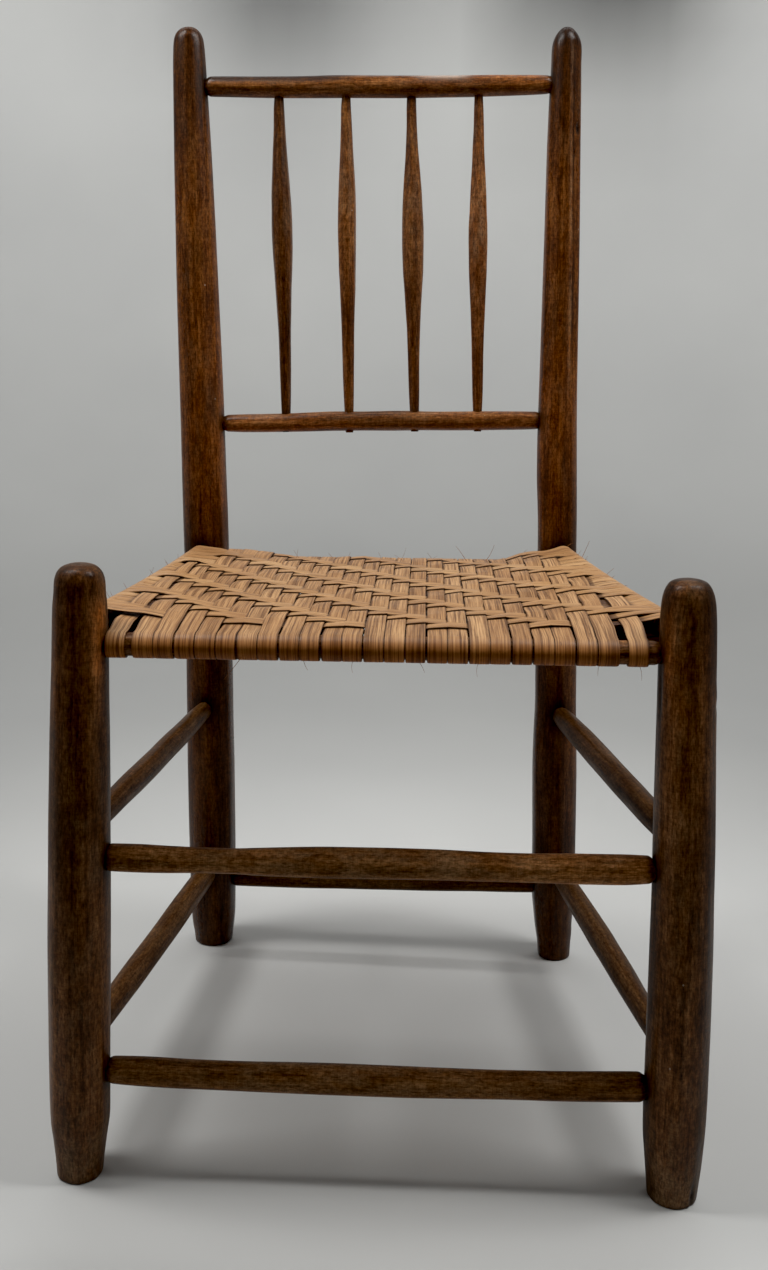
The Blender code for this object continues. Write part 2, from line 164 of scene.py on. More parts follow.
def rear_axis(name, z):
    post = REAR_POSTS[name]
    z = np.asarray(z, float)
    place = []
    for foot, seat, rise in (
        (post["foot"][0], post["seat"][0], post["top_x"] - post["seat"][0]),
        (post["foot"][1], post["seat"][1], RECLINE),
    ):
        low = (seat - foot) / BEND_START
        high = (rise - low * BEND_LENGTH / 2) / (post["height"] - BEND_START - BEND_LENGTH / 2)
        up = z - BEND_START
        bent = seat + low * up + (high - low) * up * up / (2 * BEND_LENGTH)
        straight = seat + (low + high) * BEND_LENGTH / 2 + high * (up - BEND_LENGTH)
        place.append(np.where(up <= 0, seat + low * up, np.where(up < BEND_LENGTH, bent, straight)))
    return np.stack([*place, z], -1) + SHIFT


def axis_at(name, z):
    return front_axis(name, z) if name in FRONT_POSTS else rear_axis(name, z)


def pchip(t, y, ti):
    """A smooth curve through (t, y) that never overshoots, read at ti."""
    t, y = np.asarray(t, float), np.asarray(y, float)
    h = np.diff(t)
    d = np.diff(y) / h
    m = np.empty_like(y)
    m[0], m[-1] = d[0], d[-1]
    for i in range(1, len(y) - 1):
        if d[i - 1] * d[i] <= 0:
            m[i] = 0.0
        else:
            a, b = 2 * h[i] + h[i - 1], h[i] + 2 * h[i - 1]
            m[i] = (a + b) / (a / d[i - 1] + b / d[i])
    i = np.clip(np.searchsorted(t, ti) - 1, 0, len(h) - 1)
    s = (ti - t[i]) / h[i]
    return (
        y[i] * (1 + 2 * s) * (1 - s) ** 2
        + h[i] * m[i] * s * (1 - s) ** 2
        + y[i + 1] * s * s * (3 - 2 * s)
        + h[i] * m[i + 1] * s * s * (s - 1)
    )


def radius_at(name, z):
    posts = FRONT_POSTS if name in FRONT_POSTS else REAR_POSTS
    rows = posts[name]["profile"][::-1]
    return float(np.interp(z, [r[0] for r in rows], [r[1] for r in rows]))


def smooth_profile(rows, fine, coarse):
    """Points along a (distance, radius) outline, closer together where it turns fast."""
    rows = np.array(rows, float)
    chord = np.concatenate([[0], np.cumsum(np.hypot(*np.diff(rows, axis=0).T))])
    at = []
    for a, b in zip(chord, chord[1:]):
        step = fine if b - a < 0.012 else coarse
        at += list(np.linspace(a, b, max(2, int(math.ceil((b - a) / step))), endpoint=False))
    at = np.array(at + [chord[-1]])
    return pchip(chord, rows[:, 0], at), pchip(chord, rows[:, 1], at)


def wander(rng, s, knots, size):
    """A smooth random line over s in 0 to 1."""
    spots = np.linspace(-0.05, 1.05, knots)
    return pchip(spots, rng.normal(0, size, knots), np.asarray(s, float))


def shaved(rng, s, theta, count, uneven, strength):
    """Radius factors of a piece shaved with a drawknife: long, narrow, uneven flats."""
    best = np.full((len(s), len(theta)), 9.0)
    for j in range(count):
        centre = 2 * math.pi * (j + rng.uniform(-0.3, 0.3)) / count + wander(rng, s, 5, 0.10)
        depth = math.cos(math.pi / count) * (1 + wander(rng, s, 7, uneven))
        off = theta[None, :] - centre[:, None]
        off = (off + math.pi) % (2 * math.pi) - math.pi
        c = np.cos(off)
        best = np.minimum(best, np.where(c > 0.35, depth[:, None] / np.maximum(c, 0.35), 9.0))
    best = best / best.mean(1, keepdims=True)
    soft = (np.roll(best, 1, 1) + 2 * best + np.roll(best, -1, 1)) / 4
    return 1 + strength * (soft - 1)


def add_mesh(name, verts, faces, smooth=True):
    mesh = bpy.data.meshes.new(name)
    mesh.from_pydata(np.asarray(verts, float).tolist(), [], faces)
    mesh.validate()
    if smooth:
        mesh.shade_smooth()
    made = bpy.data.objects.new(name, mesh)
    bpy.context.scene.collection.objects.link(made)
    return made


def attribute(piece, name, values):
    values = np.asarray(values, np.float32)
    kind, key = ("FLOAT_VECTOR", "vector") if values.ndim == 2 else ("FLOAT", "value")
    made = piece.data.attributes.new(name, kind, "POINT")
    made.data.foreach_set(key, values.ravel())


def tube(name, centre, along, radii, reach, seed, spare=None):
    """A closed skin round an axis: rings of radii[i, j] square to along[i], and a point at each end.

    The grain attribute holds straightened coordinates: across, across, along the piece.
    """
    n, m = radii.shape
    theta = np.linspace(0, 2 * math.pi, m, endpoint=False)
    along = along / np.linalg.norm(along, axis=1, keepdims=True)
    side = np.array([1.0, 0.0, 0.0]) if abs(along[n // 2][0]) < 0.7 else np.array([0.0, 0.0, 1.0])
    u = side - along * (along @ side)[:, None]
    u /= np.linalg.norm(u, axis=1, keepdims=True)
    v = np.cross(along, u)
    ring = (
        centre[:, None, :]
        + (radii * np.cos(theta))[:, :, None] * u[:, None, :]
        + (radii * np.sin(theta))[:, :, None] * v[:, None, :]
    )
    verts = np.concatenate([ring.reshape(-1, 3), centre[:1], centre[-1:]])
    if spare is not None:
        verts[-2], verts[-1] = spare
    faces = []
    for i in range(n - 1):
        a, b = i * m, (i + 1) * m
        faces += [(a + j, a + (j + 1) % m, b + (j + 1) % m, b + j) for j in range(m)]
    first, last, end = n * m, n * m + 1, (n - 1) * m
    faces += [(first, (j + 1) % m, j) for j in range(m)]
    faces += [(last, end + j, end + (j + 1) % m) for j in range(m)]
    made = add_mesh(name, verts, faces)
    rng = np.random.default_rng(seed + 900)
    start = rng.uniform(0.5, 9.5, 3)
    grain = np.stack(
        [radii * np.cos(theta), radii * np.sin(theta), np.repeat(reach[:, None], m, 1)], -1
    ).reshape(-1, 3)
    grain = np.concatenate([grain, [[0, 0, reach[0]], [0, 0, reach[-1]]]]) + start
    attribute(made, "grain", grain)
    made.data.set_sharp_from_angle(angle=math.radians(50))
    return made, ring, theta, u, v


# ---------------------------------------------------------------- node trees
class Nodes:
    """Short calls to build a material's nodes; a socket given as a value is linked."""

    def __init__(self, name):
        self.material = bpy.data.materials.new(name)
        self.material.use_nodes = True
        self.tree = self.material.node_tree
        self.shader = self.tree.nodes["Principled BSDF"]

    def make(self, kind, out=0, ins=None, **props):
        node = self.tree.nodes.new(kind)
        for key, value in props.items():
            setattr(node, key, value)
        for key, value in (ins or {}).items():
            self.put(node.inputs[key], value)
        return node.outputs[out]

    def put(self, socket, value):
        if isinstance(value, bpy.types.NodeSocket):
            self.tree.links.new(value, socket)
        else:
            socket.default_value = value

    def read(self, name, out):
        return self.make("ShaderNodeAttribute", out, attribute_name=name, attribute_type="GEOMETRY")

    def maths(self, operation, a, b=0.0, clamp=False):
        return self.make("ShaderNodeMath", 0, {0: a, 1: b}, operation=operation, use_clamp=clamp)

    def stretch(self, vector, by, move=(0, 0, 0)):
        return self.make("ShaderNodeMapping", 0, {"Vector": vector, "Scale": by, "Location": move})

    def noise(self, vector, scale, detail=3.0, rough=0.55, warp=0.0):
        return self.make(
            "ShaderNodeTexNoise", 0,
            {"Vector": vector, "Scale": scale, "Detail": detail, "Roughness": rough, "Distortion": warp},
        )

    def band(self, value, low, high, a=0.0, b=1.0):
        return self.make(
            "ShaderNodeMapRange", 0,
            {"Value": value, "From Min": low, "From Max": high, "To Min": a, "To Max": b},
            interpolation_type="SMOOTHSTEP",
        )

    def ramp(self, value, stops):
        node = self.tree.nodes.new("ShaderNodeValToRGB")
        elements = node.color_ramp.elements
        for k, (spot, colour) in enumerate(stops):
            e = elements[k] if k < 2 else elements.new(spot)
            e.position, e.color = spot, (*colour, 1.0)
        self.put(node.inputs[0], value)
        return node.outputs[0]

    def blend(self, share, a, b, kind="MIX"):
        node = self.tree.nodes.new("ShaderNodeMix")
        node.data_type, node.blend_type = "RGBA", kind
        node.clamp_factor = True
        for key, value in ((0, share), (6, a), (7, b)):
            if not isinstance(value, bpy.types.NodeSocket) and key != 0 and len(value) == 3:
                value = (*value, 1.0)
            self.put(node.inputs[key], value)
        return node.outputs[2]

    def bump(self, height, strength, distance, normal=None):
        ins = {"Height": height, "Strength": strength, "Distance": distance}
        if normal is not None:
            ins["Normal"] = normal
        return self.make("ShaderNodeBump", 0, ins)


def wood(name, dark, mid, light, dusty, rough=0.40, dust=0.35, coat=0.06, gloss=0.12):
    """Old varnished hardwood: streaky long grain, mottled finish, dark pores, scuffed and grimy places, and painted
    shade and painted highlights.
    """
    n = Nodes(name)
    grain = n.read("grain", 1)
    wear_and_highlight, grime_and_shade = n.read("wear_and_highlight", 2), n.read("grime_and_shade", 2)
    streaks = n.noise(n.stretch(grain, (330, 330, 16.0)), 1.0, 5.0, 0.64, 0.25)
    fibres = n.noise(n.stretch(grain, (1000, 1000, 55.0)), 1.0, 3.0, 0.62)
    figure = n.noise(n.stretch(grain, (62, 62, 6.5), (3, 1, 2)), 1.0, 4.0, 0.58, 0.9)
    mottle = n.noise(n.stretch(grain, (270, 270, 120), (4, 2, 6)), 1.0, 5.0, 0.70)
    blotch = n.noise(n.stretch(grain, (30, 30, 13), (7, 4, 9)), 1.0, 4.0, 0.6)
    pores = n.band(n.noise(n.stretch(grain, (900, 900, 130), (5, 5, 5)), 1.0, 3.0, 0.6), 0.56, 0.70)
    tone = n.maths("ADD", n.maths("MULTIPLY", streaks, 0.38), n.maths("MULTIPLY", figure, 0.32))
    tone = n.maths("ADD", tone, n.maths("MULTIPLY", mottle, 0.30))
    colour = n.ramp(tone, [(0.40, dark), (0.60, light), (0.50, mid)])
    colour = n.blend(n.band(fibres, 0.38, 0.68, 0.0, 0.50), colour, (0.34, 0.26, 0.20), "MULTIPLY")
    colour = n.blend(n.band(blotch, 0.48, 0.70, 0.0, 0.60), colour, dark)
    scuffs = n.noise(n.stretch(grain, (85, 85, 34), (2, 8, 4)), 1.0, 7.0, 0.74)
    worn_and_highlit = n.maths("ADD", n.band(scuffs, 0.50, 0.70, 0.0, dust), n.maths("MULTIPLY", wear_and_highlight, n.band(scuffs, 0.38, 0.60)), True)
    # scuffed places turn dusty; on the rear right post this also paints the highlight along its flat's edge
    colour = n.blend(worn_and_highlit, colour, dusty)
    colour = n.blend(n.maths("MULTIPLY", pores, 0.60), colour, (0.006, 0.0022, 0.0008))
    speckle = n.noise(n.stretch(grain, (640, 640, 260), (9, 3, 1)), 1.0, 3.0, 0.62)
    chatter = n.noise(n.stretch(grain, (150, 150, 1000), (2, 9, 5)), 1.0, 2.0, 0.55)
    uneven = n.maths("MULTIPLY", n.band(speckle, 0.33, 0.67, 0.66, 1.38), n.band(chatter, 0.35, 0.65, 0.86, 1.14))
    colour = n.make("ShaderNodeVectorMath", 0, {0: colour, 3: n.maths("MULTIPLY", uneven, n.read("shade", 2))}, operation="SCALE")
    dots = n.tree.nodes.new("ShaderNodeTexVoronoi")
    n.put(dots.inputs["Vector"], n.stretch(grain, (1, 1, 0.8)))
    dots.inputs["Scale"].default_value = 105.0
    chosen = n.make("ShaderNodeTexWhiteNoise", 0, {"Vector": dots.outputs["Position"]})
    near = n.band(dots.outputs["Distance"], 0.045, 0.085, 1.0, 0.0)
    flecks = n.maths("MULTIPLY", near, n.maths("GREATER_THAN", chosen, 0.955))
    colour = n.blend(n.maths("MULTIPLY", flecks, 0.75), colour, (0.42, 0.34, 0.26))
    # near black: real grime at the joints, and painted shade in a hole, beside a facet's edge and along tops
    grime_and_shade_mix = n.maths("MULTIPLY", grime_and_shade, n.band(mottle, 0.30, 0.62, 0.60, 1.0), True)
    colour = n.blend(grime_and_shade_mix, colour, (0.0065, 0.0026, 0.0012))
    # painted light: an orange glow on the front posts, standing in for light thrown back from the seat
    if name == "front_post_finish":
        colour = n.blend(n.read("painted_glow", 2), colour, (1.0, 0.72, 0.36), "MULTIPLY")
    n.put(n.shader.inputs["Base Color"], colour)
    shine = n.maths("ADD", n.band(blotch, 0.30, 0.72, rough - 0.07, rough + 0.12), n.maths("MULTIPLY", worn_and_highlit, 0.22), True)
    if name == "back_finish":
        shine = n.maths("SUBTRACT", shine, n.maths("MULTIPLY", n.read("gloss", 2), 0.22), True)
    n.put(n.shader.inputs["Roughness"], shine)
    # painted highlight: on the crest rail the gloss mark also pales the base colour
    if name == "back_finish":
        colour = n.blend(n.maths("MULTIPLY", n.read("gloss", 2), 0.74), colour, (0.54, 0.45, 0.37))
        n.put(n.shader.inputs["Base Color"], colour)
        n.put(n.shader.inputs["Specular IOR Level"], n.band(n.read("gloss", 2), 0.0, 1.0, gloss, 0.95))
    else:
        n.shader.inputs["Specular IOR Level"].default_value = gloss
    n.shader.inputs["Coat Weight"].default_value = coat
    n.shader.inputs["Coat Roughness"].default_value = 0.14
    dents = n.noise(n.stretch(grain, (95, 95, 34), (1, 6, 3)), 1.0, 3.0, 0.5)
    low = n.bump(dents, 0.35, 0.0009)
    mid_bump = n.bump(streaks, 0.30, 0.0006, low)
    fine = n.bump(n.maths("SUBTRACT", fibres, n.maths("MULTIPLY", pores, 0.5)), 0.35, 0.0003, mid_bump)
    n.put(n.shader.inputs["Normal"], fine)
    return n.material


def splint(name, dark, mid, light, lines, line_strength, rough):
    """Flat wood splint: long grain lines that follow each strand, a tone for each length, and painted shade in the
    crevices and beneath the seat.
    """
    n = Nodes(name)
    place = n.read("strand", 1)
    shade = n.read("tone", 2)
    under, crevice_shade = n.read("under", 2), n.read("crevice_shade", 2)
    coarse = n.noise(n.stretch(place, (560, 8.0, 31.7)), 1.0, 4.0, 0.62, 0.25)
    fine = n.noise(n.stretch(place, (1700, 22.0, 17.3)), 1.0, 3.0, 0.6)
    patch = n.noise(n.stretch(place, (60, 16.0, 11.1)), 1.0, 3.0, 0.6)
    cross = n.noise(n.stretch(place, (90, 300.0, 5.0)), 1.0, 2.0, 0.5)
    tone = n.maths("ADD", n.maths("MULTIPLY", patch, 0.5), n.maths("MULTIPLY", shade, 0.5))
    colour = n.ramp(tone, [(0.22, dark), (0.78, light), (0.50, mid)])
    grain_line = n.band(coarse, lines[0], lines[1], line_strength, 0.0)
    colour = n.blend(grain_line, colour, (0.175, 0.080, 0.030), "MIX")
    colour = n.blend(n.band(fine, 0.38, 0.60, 0.72, 0.0), colour, (0.40, 0.29, 0.21), "MULTIPLY")
    specks = n.band(n.noise(n.stretch(place, (800, 160.0, 3.0)), 1.0, 1.0, 0.5), 0.70, 0.78)
    colour = n.blend(n.maths("MULTIPLY", specks, 0.65), colour, (0.07, 0.030, 0.012))
    # painted shade in the crevices where a splint runs beneath or beside another
    deep = n.maths("POWER", crevice_shade, 1.7)
    colour = n.blend(n.maths("MULTIPLY", deep, n.band(patch, 0.3, 0.7, 0.75, 1.0)), colour, (0.085, 0.030, 0.008), "MULTIPLY")
    # painted shade beneath the seat and low on the turns round the rails, darker and redder
    colour = n.blend(under, colour, (1.0, 0.62, 0.25), "MULTIPLY")
    n.put(n.shader.inputs["Base Color"], colour)
    n.put(n.shader.inputs["Roughness"], n.band(patch, 0.3, 0.7, rough - 0.06, rough + 0.08))
    n.put(n.shader.inputs["Specular IOR Level"], n.band(under, 0.0, 0.8, 0.42, 0.20))
    first = n.bump(coarse, 0.55, 0.0005)
    second = n.bump(fine, 0.40, 0.00022, first)
    third = n.bump(cross, 0.10, 0.0003, second)
    n.put(n.shader.inputs["Normal"], third)
    return n.material


LOOKS = {
    "front": wood("front_post_finish", (0.034, 0.0105, 0.0030), (0.115, 0.0435, 0.0125), (0.225, 0.098, 0.034), (0.205, 0.120, 0.060), 0.36, 0.24, 0.03, 0.12),
    "rear": wood("rear_post_finish", (0.043, 0.0110, 0.0022), (0.147, 0.0420, 0.0070), (0.280, 0.100, 0.022), (0.260, 0.130, 0.056), 0.30, 0.14, 0.05, 0.13),
    "rung": wood("rung_finish", (0.060, 0.0215, 0.0052), (0.160, 0.0660, 0.0200), (0.270, 0.130, 0.048), (0.245, 0.145, 0.072), 0.38, 0.24, 0.0, 0.05),
    "back": wood("back_finish", (0.060, 0.0170, 0.0038), (0.170, 0.0560, 0.0125), (0.320, 0.132, 0.040), (0.300, 0.170, 0.085), 0.31, 0.20, 0.10, 0.15),
    "warp": splint("warp_splint_finish", (0.36, 0.180, 0.072), (0.51, 0.285, 0.125), (0.66, 0.410, 0.205), (0.38, 0.53), 0.86, 0.52),
    "weft": splint("weft_splint_finish", (0.42, 0.215, 0.086), (0.57, 0.325, 0.142), (0.71, 0.460, 0.235), (0.35, 0.50), 0.72, 0.46),
}


def dress(piece, look, node):
    piece.data.materials.clear()
    piece.data.materials.append(LOOKS[look])
    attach(piece, "root")
    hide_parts(node)


# --------------------------------------------------------------------- posts
joints = {}
for rung, (first, second, _) in RUNGS.items():
    a, b = axis_at(*first), axis_at(*second)
    way = (b - a) / np.linalg.norm(b - a)
    joints.setdefault(first[0], []).append(a + way * radius_at(*first))
    joints.setdefault(second[0], []).append(b - way * radius_at(*second))

# (height, angle round the post from +X, depth, half height, half width) of dents and chips
SCARS = {
    "front_post_left": [(0.345, 3.9, 0.0005, 0.010, 0.30), (0.180, 4.6, 0.0004, 0.012, 0.22), (0.055, 6.2, 0.0007, 0.003, 0.10)],
    "front_post_right": [
        (0.3756, 6.00, 0.0010, 0.0025, 0.12), (0.3850, 3.48, 0.0012, 0.0200, 0.07), (0.0080, 5.42, 0.0016, 0.0110, 0.08),
        (0.0450, 5.68, 0.0010, 0.0018, 0.07), (0.2500, 4.4, 0.0004, 0.015, 0.2), (0.3050, 5.1, 0.0004, 0.006, 0.08),
    ],
    "rear_post_left": [(0.700, 4.9, 0.0004, 0.018, 0.25), (0.560, 5.4, 0.0004, 0.020, 0.3)],
    "rear_post_right": [(0.8210, 5.66, 0.0022, 0.0046, 0.15), (0.640, 4.3, 0.0004, 0.02, 0.3)],
}
# (height, factor) of how light or dark each front post is painted along its height: partly the finish's own colour,
# partly painted light and shade for light that falls on the posts more from the front than the lamps give
FRONT_TONE = {
    "front_post_left": [(0.0, 0.72), (0.03, 0.75), (0.08, 1.20), (0.22, 1.08), (0.32, 0.84), (0.40, 1.02), (0.44, 0.92), (0.48, 0.42)],
    "front_post_right": [(0.0, 0.88), (0.03, 0.95), (0.08, 1.16), (0.20, 1.04), (0.29, 1.46), (0.37, 1.58), (0.42, 1.35), (0.445, 1.00), (0.48, 0.38)],
}
# where a post is fuller or slimmer than its plain outline: (height, change of radius, sideways shift)
FULLER = {
    "rear_post_left": [
        (0.0, -0.0004, 0.0), (0.010, 0.0, 0.0), (0.020, 0.0010, -0.0001), (0.031, 0.0014, 0.0), (0.057, 0.0015, 0.0),
        (0.190, 0.0016, 0.0), (0.240, 0.0012, -0.0001), (0.290, 0.0010, 0.0), (0.360, 0.0002, -0.0005),
        (0.400, 0.0004, -0.0010), (0.443, 0.0008, -0.0014), (0.492, 0.0010, -0.0016), (0.565, 0.0010, -0.0013),
        (0.663, 0.0010, -0.0013), (0.736, 0.0009, -0.0009), (0.785, 0.0008, -0.0008), (0.834, 0.0005, -0.0007),
        (0.883, 0.0004, -0.0007), (0.908, 0.0001, -0.0006), (0.93, 0.0, -0.0006),
    ],
    "rear_post_right": [
        (0.0, -0.0020, -0.0009), (0.016, -0.0013, -0.0009), (0.027, -0.0002, -0.0012), (0.037, 0.0004, -0.0017),
        (0.048, 0.0013, -0.0017), (0.069, 0.0026, -0.0017), (0.090, 0.0026, -0.0015), (0.132, 0.0023, -0.0011),
        (0.190, 0.0023, -0.0009), (0.232, 0.0015, -0.0006), (0.275, 0.0001, 0.0), (0.380, 0.0, 0.0004),
        (0.443, 0.0, 0.0008), (0.468, 0.0001, 0.0004), (0.492, 0.0003, -0.0003), (0.565, 0.0002, -0.0010),
        (0.712, 0.0, -0.0009), (0.810, 0.0, -0.0013), (0.834, 0.0, -0.0012), (0.883, 0.0002, -0.0008),
        (0.902, 0.0009, -0.0006), (0.910, 0.0007, -0.0006), (0.9192, 0.0, -0.0006), (0.93, 0.0, -0.0006),
    ],
    "front_post_left": [
        (0.0, 0.0, 0.0008), (0.031, 0.0, 0.00085), (0.047, 0.0, 0.00085), (0.062, -0.00015, 0.0006), (0.109, -0.0001, 0.0002),
        (0.155, 0.00035, 0.0), (0.200, 0.00055, -0.0001), (0.233, 0.0005, 0.0), (0.264, 0.00045, 0.0), (0.310, 0.0003, 0.0003),
        (0.341, 0.0002, 0.00035), (0.372, -0.0001, 0.00045), (0.403, -0.0002, 0.0007), (0.450, 0.0001, 0.0003),
        (0.465, 0.0006, 0.0002), (0.4722, 0.0, 0.0002),
    ],
    "front_post_right": [
        (0.0, 0.0, -0.0009), (0.030, 0.0001, -0.0007), (0.046, 0.0, -0.00085), (0.061, -0.00035, -0.00065), (0.107, -0.0006, 0.0002),
        (0.122, -0.00055, 0.0004), (0.168, -0.0005, 0.0008), (0.198, -0.0004, 0.0010), (0.229, -0.0005, 0.00105),
        (0.275, 0.0, 0.00085), (0.320, -0.0001, 0.0004), (0.351, -0.00025, 0.0), (0.382, -0.00025, -0.0002),
        (0.397, -0.0005, -0.0005), (0.458, -0.00045, -0.0004), (0.4664, 0.0, -0.0004),
    ],
}
# (height, factor) of how light or dark the rear posts are painted along their height: painted shade below the seat down
# to the feet, lightest a little above the seat, darker towards the tops
REAR_TONE = [(0.0, 0.34), (0.10, 0.40), (0.20, 0.58), (0.38, 0.56), (0.425, 0.47), (0.47, 0.76), (0.565, 1.10), (0.65, 0.84), (0.75, 0.88), (0.80, 0.74), (0.868, 0.45), (0.93, 0.33)]


def post(name, seed, look, sides=64):
    rng = np.random.default_rng(seed)
    posts = FRONT_POSTS if name in FRONT_POSTS else REAR_POSTS
    z, r = smooth_profile(posts[name]["profile"][::-1], 0.0009, 0.0035)
    keep = r > 2e-4
    top = axis_at(name, z[-1])
    z, r = z[keep], r[keep]
    if name == "front_post_right":  # the small hole that the lathe's centre left
        z = np.concatenate([z[r > 0.0026], [z[-1] - 0.00005, z[-1] - 0.0007, z[-1] - 0.0030]])
        r = np.concatenate([r[r > 0.0026], [0.0024, 0.0018, 0.0012]])
        top = axis_at(name, z[-1])
    s = z / z.max()
    theta = np.linspace(0, 2 * math.pi, sides, endpoint=False)
    factors = shaved(rng, s, theta, 13, 0.010, 0.55)
    slow = sum(
        wander(rng, s, 9, 0.0032)[:, None] * np.cos(k * theta[None, :] + wander(rng, s, 4, 0.9)[:, None])
        for k in (2, 3, 4)
    )
    calm = ease(r, 0.004, 0.013)[:, None]
    factors = 1 + (factors + slow - 1) * calm
    radii = r[:, None] * factors
    dark = np.zeros_like(radii)
    facet_highlight = np.zeros_like(radii)
    # painted shade inside the lathe's centre hole at the top
    if name == "front_post_right":
        dark[-3:] = [[0.6], [1.0], [1.0]]
    knots = np.array(FULLER[name])
    radii += pchip(knots[:, 0], knots[:, 1], z)[:, None] * calm
    for height, angle, depth, tall, wide in SCARS[name]:
        off = (theta[None, :] - angle + math.pi) % (2 * math.pi) - math.pi
        hit = np.exp(-(((z - height) / tall) ** 2)[:, None] - (off / wide) ** 2)
        radii -= depth * hit
        dark = np.maximum(dark, np.minimum(1, hit * depth / 0.0010))
    if name == "rear_post_right":  # a flat shaved down the outer side of the back
        off = (theta[None, :] - 5.42 + math.pi) % (2 * math.pi) - math.pi
        high = ease(z, 0.555, 0.60)[:, None] * (1 - ease(z, 0.895, 0.908))[:, None]
        flat = r[:, None] * 0.925 / np.maximum(np.cos(off), 0.3)
        radii = np.where(np.cos(off) > 0.75, mix(radii, np.minimum(radii, flat), high), radii)
        # painted highlight along the flat's edge, paler and lighter, and a painted shade line just beside it
        edge = mix(-0.16, -0.34, ease(z, 0.58, 0.90))[:, None]
        facet_highlight = 0.8 * high * np.exp(-(((off - edge) / 0.10) ** 4))
        dark = np.maximum(dark, 0.85 * high * np.exp(-(((off - edge - 0.185) / 0.055) ** 2)))
    centre = axis_at(name, z)
    aside = pchip(knots[:, 0], knots[:, 2], z)
    centre[:, 0] += aside
    top = top + np.array([aside[-1], 0, 0])
    slope = np.gradient(centre, axis=0)
    slope /= np.linalg.norm(slope, axis=1, keepdims=True)
    tilt = ease(z, 0.02, 0.10)[:, None]
    along = mix(np.array([0, 0, 1.0]), slope, tilt)
    made, ring, theta, _, _ = tube(
        name + "_wood", centre, along, radii, z, seed + (27 if name == "front_post_right" else 0), (centre[0].copy(), top)
    )
    flat_ring = ring.reshape(-1, 3)
    grime_and_shade = np.zeros(len(flat_ring))
    for spot in joints[name]:
        far = np.linalg.norm((flat_ring - spot) * np.array([1, 1, 0.85]), axis=1)
        grime_and_shade = np.maximum(grime_and_shade, 0.85 * np.exp(-((np.maximum(far - 0.0075, 0) / 0.0065) ** 2)))
    grime_and_shade = np.maximum(grime_and_shade, dark.ravel())
    zs = np.repeat(z, sides)
    if name == "rear_post_right":  # painted shade over its pointed top, standing in for a dimmer highlight there
        grime_and_shade = np.maximum(grime_and_shade, 0.75 * ease(zs, 0.893, 0.908))
    front = name in FRONT_POSTS
    wear_and_highlight = (0.50 if front else 0.05) * (1 - ease(zs, 0.0, 0.075)) + 0.10
    wear_and_highlight = wear_and_highlight + (0.18 * ease(zs, z.max() - 0.030, z.max()) if front else 0) + 0.8 * facet_highlight.ravel()
    tone_at = FRONT_TONE[name] if front else REAR_TONE
    tone = np.interp(zs, [t for t, _ in tone_at], [v for _, v in tone_at]) * (1 + 0.35 * facet_highlight.ravel())
    if name == "front_post_right":  # painted shade towards both sides of its face, for light that falls mostly on its front
        off = (np.tile(theta, len(z)) - 4.52 + math.pi) % (2 * math.pi) - math.pi
        depth = np.where(off > 0, 0.46, 0.50)
        tone = tone * mix(depth, 1.0, ease(np.cos(off), 0.50, 1.0))
    # painted light: a lighter, orange patch on one side of each front post just under the seat, standing in for light
    # thrown back from the seat, and a warmer tint over the upper part
    if front:
        turned = (np.tile(theta, len(z)) - (-0.60 if name == "front_post_left" else 3.75) + math.pi) % (2 * math.pi) - math.pi
        lit = np.exp(-((turned / 0.42) ** 2)) * ease(zs, 0.380, 0.405) * (1 - ease(zs, 0.438, 0.456))
        tone = tone * (1 + (1.1 if name == "front_post_left" else 0.35) * lit)
        painted_glow = np.maximum(0.85 * lit, 0.30 * ease(zs, 0.29, 0.40))
        attribute(made, "painted_glow", np.concatenate([painted_glow, painted_glow[:1], painted_glow[-1:]]))
    attribute(made, "shade", np.concatenate([tone, tone[:1], tone[-1:]]))
    grime_and_shade = np.maximum(grime_and_shade, 0.55 * (1 - ease(zs, 0.0, 0.004)))
    # the point at the bottom of the right post's centre hole is painted dark as shade too
    attribute(made, "grime_and_shade", np.concatenate([grime_and_shade, grime_and_shade[:1], [0.9 if name == "front_post_right" else grime_and_shade[-1]]]))
    attribute(made, "wear_and_highlight", np.concatenate([wear_and_highlight, wear_and_highlight[:1], wear_and_highlight[-1:]]))
    dress(made, look, name)
    return made


post("front_post_left", 11, "front")
post("front_post_right", 12, "front")
post("rear_post_left", 13, "rear")
post("rear_post_right", 14, "rear")


# --------------------------------------------------------------------- rungs
# the side seat rails are pulled in and down a little by the weave
SHOULDER = 0.0066  # length over which a rung thins down to its tenon
